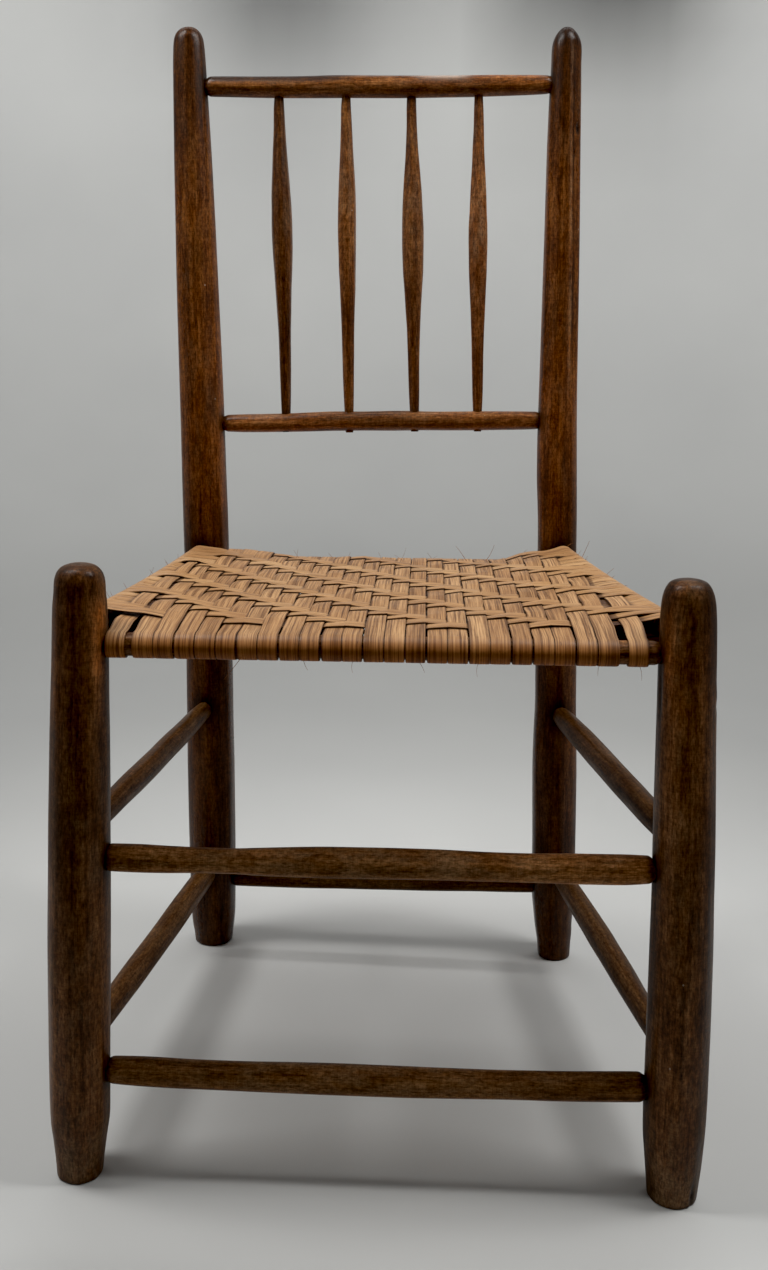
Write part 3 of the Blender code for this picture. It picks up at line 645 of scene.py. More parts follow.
# how a rung departs from its even swell: (share, change of radius, change of height), in millimetres
UNEVEN = {
    "front_stretcher_upper": [
        (0.0, 0.0, 0.0), (0.06, -0.1, -0.3), (0.12, -0.7, -0.7), (0.19, -1.5, -0.6), (0.24, -1.55, -0.65), (0.28, -0.9, -0.6),
        (0.33, -0.4, -0.35), (0.42, 0.2, 0.15), (0.50, 0.2, 0.2), (0.60, 0.0, -0.1), (0.70, -0.35, -1.0), (0.78, -0.15, -1.4),
        (0.87, 0.55, -1.1), (0.94, 0.7, -0.8), (1.0, 0.0, 0.0),
    ],
    "front_stretcher_lower": [
        (0.0, 0.0, 0.0), (0.03, 0.3, -0.3), (0.08, 0.4, -0.45), (0.17, -0.1, -0.9), (0.26, -0.3, -0.9), (0.36, -0.1, -0.55),
        (0.45, 0.1, -0.4), (0.54, 0.0, -0.6), (0.64, -0.75, -0.95), (0.73, -1.1, -1.25), (0.82, -0.65, -1.3),
        (0.92, -0.2, -0.65), (1.0, 0.0, 0.0),
    ],
    "side_stretcher_left_upper": [
        (0.0, 0.0, 0.0), (0.17, 0.1, 0.2), (0.35, 0.55, 0.0), (0.55, 0.4, -0.7), (0.78, 0.5, -0.35), (0.9, 0.6, 0.0), (1.0, 0.3, 0.0),
    ],
    "side_stretcher_left_lower": [
        (0.0, 0.3, 0.0), (0.17, 0.57, -0.3), (0.35, 0.8, -0.55), (0.55, 1.0, -1.1), (0.78, 1.45, 0.5), (0.9, 1.4, 0.6), (1.0, 0.5, 0.0),
    ],
    "side_stretcher_right_upper": [
        (0.0, 0.4, 0.0), (0.2, 0.88, -0.7), (0.5, 0.95, -0.2), (0.77, 1.7, 0.1), (0.9, 1.6, 0.1), (1.0, 0.6, 0.0),
    ],
    "side_stretcher_right_lower": [
        (0.0, 0.2, 0.0), (0.2, 0.46, 0.1), (0.4, 1.0, 1.5), (0.575, 0.95, 1.45), (0.77, 0.62, 0.9), (0.9, 0.5, 0.4), (1.0, 0.2, 0.0),
    ],
    "crest_rail": [
        (0.0, 0.0, 0.0), (0.08, 0.0, -0.3), (0.20, -0.1, -0.6), (0.34, 0.0, -1.2), (0.47, -0.1, -1.2), (0.60, 0.2, -1.2),
        (0.72, 0.4, -1.0), (0.85, 0.5, -0.3), (0.93, 0.3, -0.2), (1.0, 0.0, 0.0),
    ],
    "lower_back_rail": [
        (0.0, 0.0, 0.0), (0.10, 0.4, -0.2), (0.20, 0.4, 0.1), (0.28, 0.4, 0.8), (0.355, 0.3, 1.4), (0.43, 0.1, 1.2),
        (0.50, 0.3, 1.0), (0.57, 0.5, 0.8), (0.70, 0.0, 0.3), (0.83, 0.2, 0.4), (0.92, 0.2, 0.2), (1.0, 0.0, 0.0),
    ],
}
SAG = {"seat_rail_left": (0.0022, -0.0022), "seat_rail_right": (-0.0020, -0.0022)}


def rung(name, seed, look, slot, sides=40, bow=(0.0, 0.0), facets=11, tone=(1.0, 1.0, 1.0)):
    rng = np.random.default_rng(seed)
    first, second, (near, middle, far) = RUNGS[name]
    a, b = axis_at(*first), axis_at(*second)
    length = np.linalg.norm(b - a)
    way = (b - a) / length
    ra, rb = radius_at(*first), radius_at(*second)
    tenon = TENON.get(name, 0.0068 if "stretcher" in name else 0.0061)
    begin, end = ra - 0.0030, length - rb + 0.0030
    step = 0.0044 if name == "front_stretcher_upper" else SHOULDER  # this rung runs almost square into its posts
    rows = [(begin - 0.0050, tenon - 0.0004), (begin, tenon), (begin + step, near)]
    span = end - begin - 2 * step
    for share in (0.10, 0.22, 0.36, 0.5, 0.64, 0.78, 0.90):
        swell = math.sin(math.pi * share) ** 0.8
        rows.append((begin + step + span * share, mix(near, far, share) + (middle - (near + far) / 2) * swell))
    rows += [(end - step, far), (end, tenon), (end + 0.0050, tenon - 0.0004)]
    d, r = smooth_profile(rows, 0.0020, 0.0035)
    s = (d - begin) / (end - begin)
    theta = np.linspace(0, 2 * math.pi, sides, endpoint=False)
    factors = shaved(rng, np.clip(s, 0, 1), theta, facets, 0.016, 0.75)
    slow = sum(
        wander(rng, s, 8, 0.009)[:, None] * np.cos(k * theta[None, :] + wander(rng, s, 4, 0.8)[:, None])
        for k in (2, 3)
    )
    lumps = wander(rng, s, 14, 0.008)[:, None]
    radii = r[:, None] * (factors + (slow + lumps) * ease(s, 0.0, 0.08)[:, None] * (1 - ease(s, 0.92, 1.0))[:, None])
    arch = np.sin(np.pi * np.clip(s, 0, 1))
    centre = a + way * d[:, None] + arch[:, None] * np.array([0, bow[0], bow[1]])
    if name in UNEVEN:
        knots = np.array(UNEVEN[name])
        radii += 0.001 * pchip(knots[:, 0], knots[:, 1], np.clip(s, 0, 1))[:, None]
        centre[:, 2] += 0.001 * pchip(knots[:, 0], knots[:, 2], np.clip(s, 0, 1))
    if name in SAG:
        along = 4 * (d / length) * (1 - d / length)
        centre[:, 0] += SAG[name][0] * along
        centre[:, 2] += SAG[name][1] * along
    else:
        for axis in (1, 2):
            centre[:, axis] += wander(rng, s, 6, 0.00035) * arch
    made, ring, *_ = tube(name + "_wood", centre, np.gradient(centre, axis=0), radii, d, seed)
    from_end = np.minimum(d - begin, end - d)
    dark = (0.35 if name == "seat_rail_front" else 0.72) * (1 - ease(from_end, 0.0030, 0.0085))
    if name == "lower_back_rail":
        dark = np.maximum(dark, 0.0)
    rub = 0.35 * arch if "front_stretcher" in name else 0.12 * arch
    tones = np.interp(s, np.linspace(0, 1, len(tone)), tone)
    if name == "crest_rail":  # a painted highlight along its upper edge, where it is also glossier
        x = centre[:, 0]
        spot = np.exp(-(((x - 0.046) / 0.024) ** 4))
        up = np.cos(theta - math.pi / 2)
        top_side = ring[:, :, 2] - centre[:, None, 2]
        top_side = np.clip(top_side / top_side.max(), 0, 1) ** 3
        attribute(made, "gloss", np.concatenate([(spot[:, None] * top_side).ravel(), [0, 0]]))
    for key, line in (("grime_and_shade", dark), ("wear_and_highlight", rub), ("shade", tones)):
        line = np.repeat(line, sides)
        if key == "shade" and name in ("crest_rail", "lower_back_rail"):  # painted shade along the top, fading out towards the right end
            over = (ring[:, :, 2] - centre[:, None, 2]) / radii
            over = ease(over, 0.35, 0.95) * (0.50 if name == "crest_rail" else 0.30)
            line = line * (1 - over * (1 - ease(centre[:, 0], 0.0, 0.05))[:, None]).ravel()
        if key == "grime_and_shade" and name == "crest_rail":  # painted shade along the top of its left part
            over = ease((ring[:, :, 2] - centre[:, None, 2]) / radii, 0.10, 0.70)
            line = np.maximum(line, (0.85 * over * (1 - ease(centre[:, 0], -0.085, -0.005))[:, None]).ravel())
        attribute(made, key, np.concatenate([line, line[:1], line[-1:]]))
    dress(made, look, name)
    return made


# each rung's tone along its length: partly the wood's own colour, partly painted light and shade for how light falls on
# each rung; the side and rear stretchers are painted darker, the upper front stretcher lighter, most of all at its
# right end
rung("front_stretcher_upper", 21, "rung", "rung_wood", tone=(1.85, 1.12, 3.00))
rung("front_stretcher_lower", 22, "rung", "rung_wood", bow=(0.0, -0.0015), tone=(0.86, 1.00, 0.90))
rung("side_stretcher_left_upper", 23, "rung", "rung_wood", tone=(0.64, 0.64, 0.56))
rung("side_stretcher_left_lower", 24, "rung", "rung_wood", tone=(0.72, 0.68, 0.60))
rung("side_stretcher_right_upper", 25, "rung", "rung_wood", tone=(0.50, 0.50, 0.46))
rung("side_stretcher_right_lower", 26, "rung", "rung_wood", tone=(0.56, 0.52, 0.50))
rung("rear_stretcher", 27, "rung", "rung_wood", tone=(0.48, 0.48, 0.48))
rung("seat_rail_front", 28, "front", "rung_wood", tone=(1.3, 1.3, 1.3))
rung("seat_rail_back", 29, "front", "rung_wood", 24)
rung("seat_rail_left", 30, "front", "rung_wood", 24)
rung("seat_rail_right", 31, "front", "rung_wood", 24)
rung("crest_rail", 32, "back", "back_wood", tone=(1.04, 1.30, 1.34))
rung("lower_back_rail", 33, "back", "back_wood", tone=(1.20, 1.32, 0.78, 0.98, 1.14))


# ------------------------------------------------------------------ spindles
# each spindle's own shaving: share of the way down, then change of radius and sideways shift in millimetres
SHAVED_SHARE = (0.0, 0.04, 0.105, 0.17, 0.23, 0.30, 0.36, 0.42, 0.49, 0.55, 0.61, 0.68, 0.74, 0.81, 0.87, 0.93, 1.0)
SHAVED_GIRTH = {
    "spindle_1": (0.2, 0.4, 0.0, -0.1, -0.1, 0.25, 0.5, 1.0, 1.15, 0.95, 0.55, 0.4, 0.15, 0.35, 0.5, 0.5, 0.2),
    "spindle_2": (0.2, 0.6, 0.3, 0.0, 0.1, 0.3, 0.35, 0.6, 0.65, 1.1, 1.25, 0.95, 0.8, 1.0, 1.0, 0.8, 0.3),
    "spindle_3": (0.0, -0.2, -0.9, -1.15, -0.95, -0.25, 0.4, 1.35, 1.85, 2.0, 1.3, 0.65, 0.2, 0.15, 0.3, 0.45, 0.2),
    "spindle_4": (0.0, 0.0, -0.45, -0.85, -1.2, -0.95, -0.6, 0.65, 1.3, 1.4, 0.95, 0.65, 0.6, 0.65, 0.8, 0.8, 0.3),
}
SHAVED_SHIFT = {
    "spindle_1": (-0.2, -0.6, -0.6, -0.8, -0.7, -0.5, 0.1, 0.4, 0.8, 0.9, 0.8, 0.9, 0.9, 0.8, 0.6, 0.4, 0.2),
    "spindle_2": (-0.3, -0.7, -0.6, -0.8, -1.0, -1.1, -1.2, -1.2, -0.9, -0.8, -0.4, -0.4, -0.4, -0.4, -0.5, -0.4, -0.2),
    "spindle_3": (0.0, -0.2, 0.0, 0.1, 0.3, 0.3, 0.0, -0.2, -0.6, -0.5, -0.3, -0.1, 0.2, 0.1, 0.0, 0.0, 0.0),
    "spindle_4": (0.1, 0.2, 0.3, 0.1, 0.3, 0.3, 0.1, -0.2, -0.4, -0.6, -0.6, -0.5, -0.6, -0.6, -0.4, -0.2, -0.1),
}


def spindle(name, seed, tone, sides=32):
    rng = np.random.default_rng(seed)
    share_top, share_low, widest, proud = SPINDLES[name]
    crest = [axis_at(*RUNGS["crest_rail"][k]) for k in (0, 1)]
    low = [axis_at(*RUNGS["lower_back_rail"][k]) for k in (0, 1)]
    top, foot = mix(crest[0], crest[1], share_top), mix(low[0], low[1], share_low)
    length = np.linalg.norm(foot - top)
    way = (foot - top) / length
    begin, end = 0.0094, length - 0.0080
    rows = [(begin - 0.0060, 0.0040)]
    rows += [(mix(begin, end, share), max(size * widest, 0.0040)) for share, size in SPINDLE_SHAPE]
    rows += [(length + 0.0086, 0.0038), (length + 0.0091 + max(proud, 0.0), 0.0034)]
    d, r = smooth_profile(rows, 0.0016, 0.0028)
    s = np.clip((d - begin) / (end - begin), 0, 1)
    theta = np.linspace(0, 2 * math.pi, sides, endpoint=False)
    factors = shaved(rng, s, theta, 8, 0.018, 0.85)
    slow = wander(rng, s, 9, 0.020)[:, None] * np.cos(2 * theta[None, :] + wander(rng, s, 4, 0.7)[:, None])
    radii = r[:, None] * (factors + slow * np.sin(np.pi * s)[:, None])
    shown = ease(d, begin - 0.002, begin + 0.002) * (1 - ease(d, end - 0.001, end + 0.003))
    radii += 0.001 * (pchip(SHAVED_SHARE, SHAVED_GIRTH[name], s) * shown)[:, None]
    centre = top + way * d[:, None]
    centre[:, 0] += wander(rng, s, 5, 0.0004) * np.sin(np.pi * s) + 0.001 * pchip(SHAVED_SHARE, SHAVED_SHIFT[name], s) * shown
    made, *_ = tube(name + "_wood", centre, np.gradient(centre, axis=0), radii, d, seed)
    dark = np.maximum(0.40 * (1 - ease(d - begin, 0.0, 0.008)), 0.55 * ease(d, end - 0.012, end))
    dark = np.maximum(dark, 0.28 * ease(s, 0.45, 0.95))
    rub = 0.25 * np.exp(-(((s - 0.36) / 0.2) ** 2))
    for key, line in (("grime_and_shade", dark), ("wear_and_highlight", rub), ("shade", np.interp(s, [0, 0.4, 1], tone))):
        attribute(made, key, np.concatenate([np.repeat(line, sides), line[:1], line[-1:]]))
    dress(made, "back", name)
    return made


for k, tone in enumerate([(0.52, 0.58, 0.72), (1.0, 1.05, 1.0), (0.85, 0.92, 0.92), (1.2, 1.40, 1.10)], 1):
    spindle(f"spindle_{k}", 40 + k, tone)


# ---------------------------------------------------------------- woven seat
RAIL, CLEAR = 0.0085, 0.0003
THICK = 0.0012  # a splint's thickness
APART = THICK + 0.00030  # between the middles of two crossing splints
ROLL = RAIL + CLEAR + THICK / 2  # radius of a splint's middle round a rail
STRANDS, ROWS = 25, 21
ACROSS = np.array([-1.0, -0.84, -0.42, 0.0, 0.42, 0.84, 1.0])
NA = len(ACROSS)
# painted shade along both edges of every splint
RIM = np.array([0.85, 0.0, 0.0, 0.0, 0.0, 0.0, 0.85])
seat_rng = np.random.default_rng(77)

F0, F1 = axis_at(*RUNGS["seat_rail_front"][0]), axis_at(*RUNGS["seat_rail_front"][1])
B0, B1 = axis_at(*RUNGS["seat_rail_back"][0]), axis_at(*RUNGS["seat_rail_back"][1])
L0, L1 = axis_at(*RUNGS["seat_rail_left"][0]), axis_at(*RUNGS["seat_rail_left"][1])
R0, R1 = axis_at(*RUNGS["seat_rail_right"][0]), axis_at(*RUNGS["seat_rail_right"][1])


def by_x(a, b, x):
    """(y, z) of a rail's axis at x."""
    t = (x - a[0]) / (b[0] - a[0])
    return mix(a[1], b[1], t), mix(a[2], b[2], t)


def by_y(a, b, y):
    """(x, z) of a side rail's axis at y."""
    t = (y - a[1]) / (b[1] - a[1])
    pull, drop = SAG["seat_rail_left" if a[0] < 0 else "seat_rail_right"]
    along = 4 * np.clip(t, 0, 1) * (1 - np.clip(t, 0, 1))
    return mix(a[0], b[0], t) + pull * along, mix(a[2], b[2], t) + drop * along


# edges of the strands at the front rail, from the gaps between them in millimetres
GAPS = [0.7, 1.3, 0.6, 0.8, 0.6, 0.45, 1.6, 0.4, 1.5, 0.25, 1.3, 0.3, 0.7, 1.4, 0.3, 1.1, 0.25, 1.4, 1.3, 0.3, 1.1, 0.7]
front_line = -0.1715 + 0.01525 * np.arange(24)  # left of strand 2 ... right of strand 24
front_left = np.empty(STRANDS + 1)
front_right = np.empty(STRANDS + 1)
front_left[1], front_right[1] = -0.1912, -0.1768
front_left[25], front_right[25] = 0.1858, 0.2000
for k in range(2, 25):
    front_left[k] = front_line[k - 2] + (GAPS[k - 3] / 2000 if k > 2 else 0.0)
    front_right[k] = front_line[k - 1] - (GAPS[k - 2] / 2000 if k < 24 else 0.0)
back_line = -0.1522 + 0.01475 * (np.arange(STRANDS + 2) - 3)  # index: left side of that strand
back_gap = seat_rng.uniform(0.00010, 0.00045, STRANDS + 2)
back_left = back_line[: STRANDS + 1] + back_gap[: STRANDS + 1]
back_right = back_line[1 : STRANDS + 2] - back_gap[1 : STRANDS + 2]
front_left[0], front_right[0] = front_left[1] - 0.0150, front_right[1] - 0.0150
back_left[1], back_right[1], back_left[2], back_right[2] = -0.1715, -0.1620, -0.1618, -0.1519
front_right[2] += 0.0004
for edges in (front_left, front_right, back_left, back_right):
    edges += SHIFT[0]

# edges of the rows, each from its own side of the seat to the other
row_jitter = seat_rng.normal(0, 0.00030, ROWS + 2)
row_jitter[0] = row_jitter[ROWS] = 0
row_swing = seat_rng.uniform(0, 2 * math.pi, (3, ROWS + 3))


def row_line(j, x, y_hint):
    """y of the boundary in front of row j + 1 (j counts from 0), at x."""
    yf, _ = by_x(F0, F1, x)
    yb, _ = by_x(B0, B1, x)
    middle = yf + 0.0215 + (yb - yf - 0.0215) * j / ROWS
    first = 1 - ease(j, 0.0, 3.0)
    left = SHIFT[1] + mix(-0.1510, 0.1368, j / ROWS) + 0.0060 * first
    right = SHIFT[1] + mix(-0.1488, 0.1335, j / ROWS) + 0.0060 * first
    xl, _ = by_y(L0, L1, y_hint)
    xr, _ = by_y(R0, R1, y_hint)
    centre = (xl + xr) / 2
    s = np.clip((x - centre) / ((xr - xl) / 2), -1.1, 1.1)
    size = np.abs(s)
    line = np.where(s < 0, mix(middle, left, size ** (1.6 - 0.4 * first)), mix(middle, right, size ** (1.35 - 0.35 * first)))
    knots = np.arange(ROWS + 3)
    swing = sum(
        np.interp(j, knots, 0.00022 * np.sin(row_swing[i]) ) * np.sin(x / length) + np.interp(j, knots, 0.00022 * np.cos(row_swing[i])) * np.cos(x / length)
        for i, length in enumerate((0.021, 0.036, 0.060))
    )
    return line + np.interp(j, np.arange(ROWS + 2), row_jitter) + swing


TOP_END = {1: 16, 2: 16, 23: 19, 24: 13, 25: 7}  # last row that covers a short strand
LOW_END = {0: 6, 1: 14, 2: 19, 23: 12, 24: 6}


def lattice(under):
    """Places of every crossing's samples: x and y, for strands by rows."""
    strands = np.arange(0, 25) if under else np.arange(1, 26)
    ahead = strands + 1 if under else strands
    fl, fr, bl, br = front_left[ahead], front_right[ahead], back_left[strands], back_right[strands]
    share = (ACROSS + 1) / 2
    x_front = (fl[:, None] + (fr - fl)[:, None] * share).ravel()
    x_back = (bl[:, None] + (br - bl)[:, None] * share).ravel()
    gap = 0.008 if under else 0.026
    inside = gap + (1 - 2 * gap) * share
    rows = (np.arange(ROWS)[:, None] + inside).ravel()
    x = np.repeat(((x_front + x_back) / 2)[:, None], len(rows), 1)
    y = np.zeros_like(x)
    for _ in range(4):
        xl, _z = by_y(L0, L1, y)
        xr, _z = by_y(R0, R1, y)
        slip = np.clip((xr - x) / (xr - xl), 0, 1) if under else 0.0
        y = row_line(rows[None, :] + slip, x, y)
        yf, yb = by_x(F0, F1, x)[0], by_x(B0, B1, x)[0]
        t = (y - yf) / (yb - yf)
        x = x_front[:, None] + (x_back - x_front)[:, None] * t
    return x, y, x_front, x_back


def base(x, y, under, weft):
    """Height of the woven sheet's middle: level between the rails, rising to the side rails."""
    yf, zf = by_x(F0, F1, x)
    yb, zb = by_x(B0, B1, x)
    t = (y - yf) / (yb - yf)
    sign = -1.0 if under else 1.0
    plane = mix(zf, zb, t) + sign * (ROLL + 0.00025 * ease(np.minimum(y - yf, yb - y), 0.0, 0.02))
    xl, zl = by_y(L0, L1, y)
    xr, zr = by_y(R0, R1, y)
    left = x < (xl + xr) / 2
    half = (xr - xl) / 2
    z_side = np.where(left, zl, zr)
    rise = np.maximum(z_side + sign * ROLL - plane, 0.0)
    lean = np.arctan(2.6 * rise / half)
    reach = half - sign * np.sin(lean) * ROLL
    edge = z_side + sign * np.cos(lean) * ROLL
    s = np.clip(np.abs(x - (xl + xr) / 2) / reach, 0, 1)
    near = ease(np.minimum(y - yf, yb - y), 0.000, 0.075)
    power = np.where(left, 1.75, 2.4)
    front = y - yf < yb - y
    by_front = s ** np.where(left, 5.5, 4.5)
    by_back = np.where(left, 0.62 * ease(s, 0.42, 0.80) + 0.38 * s**9, 0.50 * ease(s, 0.64, 0.86) + 0.50 * s**11)
    climb = mix(np.where(front, by_front, by_back), s**power, near)
    if not weft:
        climb = climb * ease(y - yf, 0.0, 0.0215) * ease(yb - y, 0.0, 0.0150)
    ripple = 0.00028 * (np.sin(x * 151 + y * 67) + np.sin(x * 89 - y * 173 + 1.7)) * near
    return plane + (edge - plane) * climb + ripple


def leaves(y, side, under):
    """Point and lean where a row's splint meets a side rail: (x, z, lean)."""
    rail = (L0, L1) if side < 0 else (R0, R1)
    x0, z0 = by_y(*rail, y)
    xl, _ = by_y(L0, L1, y)
    xr, _ = by_y(R0, R1, y)
    sign = -1.0 if under else 1.0
    inner = (xl + xr) / 2
    yf, zf = by_x(F0, F1, inner)
    yb, zb = by_x(B0, B1, inner)
    plane = mix(zf, zb, (y - yf) / (yb - yf)) + sign * ROLL
    lean = np.arctan(2.6 * np.maximum(z0 + sign * ROLL - plane, 0) / ((xr - xl) / 2))
    return x0, z0, lean


def settle(under):
    """Heights of both layers about the sheet's middle, after they are pulled tight over each other.

    Splints are stiff along and across; where two cross they stay a thickness apart.
    """
    strands = np.arange(0, 25) if under else np.arange(1, 26)
    n_u, n_v = STRANDS * NA, ROWS * NA
    over = np.ones((STRANDS, ROWS))
    there = np.ones((STRANDS, ROWS))
    ends = LOW_END if under else TOP_END
    for i, k in enumerate(strands):
        for r in range(1, ROWS + 1):
            on_top = (k + r - 2) % 5 in (0, 1)  # the row's splint lies over this strand
            if under:
                on_top = (k + r) % 5 in (0, 1)
            over[i, r - 1] = -1 if on_top else 1
            if k in ends and r > ends[k]:
                there[i, r - 1] = 0
    sign = np.repeat(np.repeat(over, NA, 0), NA, 1)
    live = np.repeat(np.repeat(there, NA, 0), NA, 1) > 0
    if under:
        sign = -sign  # seen from below
    pad = 5
    warp = np.zeros((n_u, n_v + 2 * pad))
    weft = np.zeros((n_u + 2 * pad, n_v))
    warp[:, pad:-pad] = 0.4 * APART * sign
    weft[pad:-pad, :] = -0.6 * APART * sign
    noise = seat_rng.normal(0, 0.00010, (STRANDS, ROWS))
    lumps = np.repeat(np.repeat(noise, NA, 0), NA, 1)
    plate_a = ACROSS - ACROSS.mean()
    norm = (plate_a**2).sum()
    for step in range(420):
        for sheet, axis in ((warp, 1), (weft, 0)):
            before, after = np.roll(sheet, 1, axis), np.roll(sheet, -1, axis)
            sheet += 0.42 * ((before + after) / 2 - sheet)
            if axis == 1:
                sheet[:, 0] = sheet[:, -1] = 0
            else:
                sheet[0, :] = sheet[-1, :] = 0
        part = warp.reshape(STRANDS, NA, -1)
        mean = part.mean(1, keepdims=True)
        tilt = (part * plate_a[None, :, None]).sum(1, keepdims=True) / norm
        part += 0.30 * (mean + tilt * plate_a[None, :, None] - part)
        part = weft.reshape(n_u + 2 * pad, ROWS, NA)
        mean = part.mean(2, keepdims=True)
        tilt = (part * plate_a).sum(2, keepdims=True) / norm
        part += 0.30 * (mean + tilt * plate_a - part)
        w, f = warp[:, pad:-pad], weft[pad:-pad, :]
        short = np.where(live, np.maximum(APART - sign * (w - f), 0), 0)
        w += 0.42 * short * sign
        f -= 0.58 * short * sign
    w = warp[:, pad:-pad].copy()
    f = weft[pad:-pad, :].copy()
    arch = np.sin(np.pi * (np.arange(2 * NA) + 0.5) / (2 * NA))
    for r in range(ROWS):  # a splint bows up a little where it floats over two others
        for i in range(STRANDS - 1):
            if (over[i : i + 2, r] < 0).all() and there[i : i + 2, r].all():
                lift = 0.00038 * (1 + seat_rng.uniform(-0.5, 0.5))
                f[i * NA : (i + 2) * NA, r * NA : (r + 1) * NA] += (-1 if under else 1) * lift * arch[:, None]
    arch = np.sin(np.pi * (np.arange(3 * NA) + 0.5) / (3 * NA))
    for i in range(STRANDS):
        for r in range(ROWS - 2):
            if (over[i, r : r + 3] > 0).all() and there[i, r : r + 3].all() and (r + 3 == ROWS or over[i, r + 3] < 0):
                lift = 0.00040 * (1 + seat_rng.uniform(-0.5, 0.5))
                w[i * NA : (i + 1) * NA, r * NA : (r + 3) * NA] += (-1 if under else 1) * lift * arch[None, :]
    w, f = w + 0.3 * lumps, f + 0.3 * lumps
    return w, f, there, over


def tucked(points, crevice_shade=0.0):
    """Adds a fourth channel: painted shade for how deep each point sits in a crevice between splints."""
    return np.concatenate([points, np.broadcast_to(crevice_shade, points.shape[:2])[..., None]], -1)


def crevice(hidden, n_across):
    """Painted shade per crossing sample along a splint: 1 beneath another splint, part of that right beside one, and at
    least the rim's along the edges.
    """
    line = np.repeat(hidden.astype(float), NA)
    beside = line.copy()
    beside[1:] = np.maximum(beside[1:], 0.75 * line[:-1])
    beside[:-1] = np.maximum(beside[:-1], 0.75 * line[1:])
    return np.maximum(beside[:, None], RIM[None, :])[:, :n_across]


def ribbon_mesh(strips):
    """strips: a list of dicts of arrays along a strand: place (n, NA, 3), normal (n, NA, 3), tone, strand id, length.

    Each strip becomes a closed skin of the splint's thickness with rounded edges.
    """
    verts, faces, coords, tones, under_shades, crevice_shades = [], [], [], [], [], []
    top_drop = np.array([0.26, 0.02, 0.0, 0.0, 0.0, 0.02, 0.26])
    low_pick = [6, 4, 2, 0]
    low_drop = np.array([0.28, 0.0, 0.0, 0.28])
    start = 0
    for strip in strips:
        place, normal = strip["place"], strip["normal"]
        n = len(place)
        upper = place + normal * (THICK * (0.5 - top_drop))[None, :, None]
        lower = place[:, low_pick] - normal[:, low_pick] * (THICK * (0.5 - low_drop))[None, :, None]
        ring = np.concatenate([upper, lower], 1)
        m = ring.shape[1]
        verts.append(ring.reshape(-1, 3))
        width = strip["width"]
        span = np.concatenate([ACROSS, ACROSS[low_pick]]) / 2 * width
        coords.append(
            np.stack(
                [np.repeat(span[None, :], n, 0) + 0.5, np.repeat(strip["length"][:, None], m, 1), np.repeat(strip["id"][:, None], m, 1)],
                -1,
            ).reshape(-1, 3)
        )
        tones.append(np.repeat(strip["tone"][:, None], m, 1).ravel())
        under_shades.append(np.repeat(strip["under"][:, None], m, 1).ravel())
        crevice_shades.append(np.concatenate([strip["crevice_shade"], strip["crevice_shade"][:, low_pick]], 1).ravel())
        for i in range(n - 1):
            a, b = start + i * m, start + (i + 1) * m
            faces += [(a + j, b + j, b + (j + 1) % m, a + (j + 1) % m) for j in range(m)]
        for row, flip in ((0, False), (n - 1, True)):
            o = start + row * m
            quads = [(o + 0, o + 1, o + 2, o + 9, o + 10), (o + 2, o + 3, o + 4, o + 8, o + 9), (o + 4, o + 5, o + 6, o + 7, o + 8)]
            faces += [q[::-1] if flip else q for q in quads]
        start += n * m
    return np.concatenate(verts), faces, *(np.concatenate(k) for k in (coords, tones, under_shades, crevice_shades))


def build(name, strips, look, node, fibres=None):
    verts, faces, coords, tones, under_shades, crevice_shades = ribbon_mesh(strips)
    if fibres is not None:
        more, more_faces, more_coords, more_tones = fibres
        faces = faces + [tuple(i + len(verts) for i in face) for face in more_faces]
        verts, coords = np.concatenate([verts, more]), np.concatenate([coords, more_coords])
        tones = np.concatenate([tones, more_tones])
        under_shades = np.concatenate([under_shades, np.full(len(more), 1.0)])
        crevice_shades = np.concatenate([crevice_shades, np.full(len(more), 0.55)])
    made = add_mesh(name, verts, faces)
    made.data.set_sharp_from_angle(angle=math.radians(62))
    attribute(made, "strand", coords)
    attribute(made, "tone", tones)
    attribute(made, "under", under_shades)
    attribute(made, "crevice_shade", crevice_shades)
    dress(made, look, node)
    return made


def normals_of(place):
    """Unit normals of a strip's points, from its own directions along and across."""
    along = np.gradient(place, axis=0)
    across = np.gradient(place, axis=1)
    normal = np.cross(across, along)
    return normal / np.maximum(np.linalg.norm(normal, axis=2, keepdims=True), 1e-12)


x_top, y_top, xf_top, xb_top = lattice(False)
x_low, y_low, xf_low, xb_low = lattice(True)
w_top, f_top, there_top, over_top = settle(False)
w_low, f_low, there_low, over_low = settle(True)
NV = ROWS * NA


def squeeze(x, y):
    """Keeps a short strand's outer edge clear of the side rail: x is (stations, NA)."""
    xl, _ = by_y(L0, L1, y.mean(1))
    xr, _ = by_y(R0, R1, y.mean(1))
    low, high = x[:, 0], x[:, -1]
    low = np.maximum(low, xl + RAIL + 0.0018)
    high = np.minimum(high, xr - RAIL - 0.0018)
    high = np.maximum(high, low + 0.003)
    share = (ACROSS + 1) / 2
    return low[:, None] + (high - low)[:, None] * share


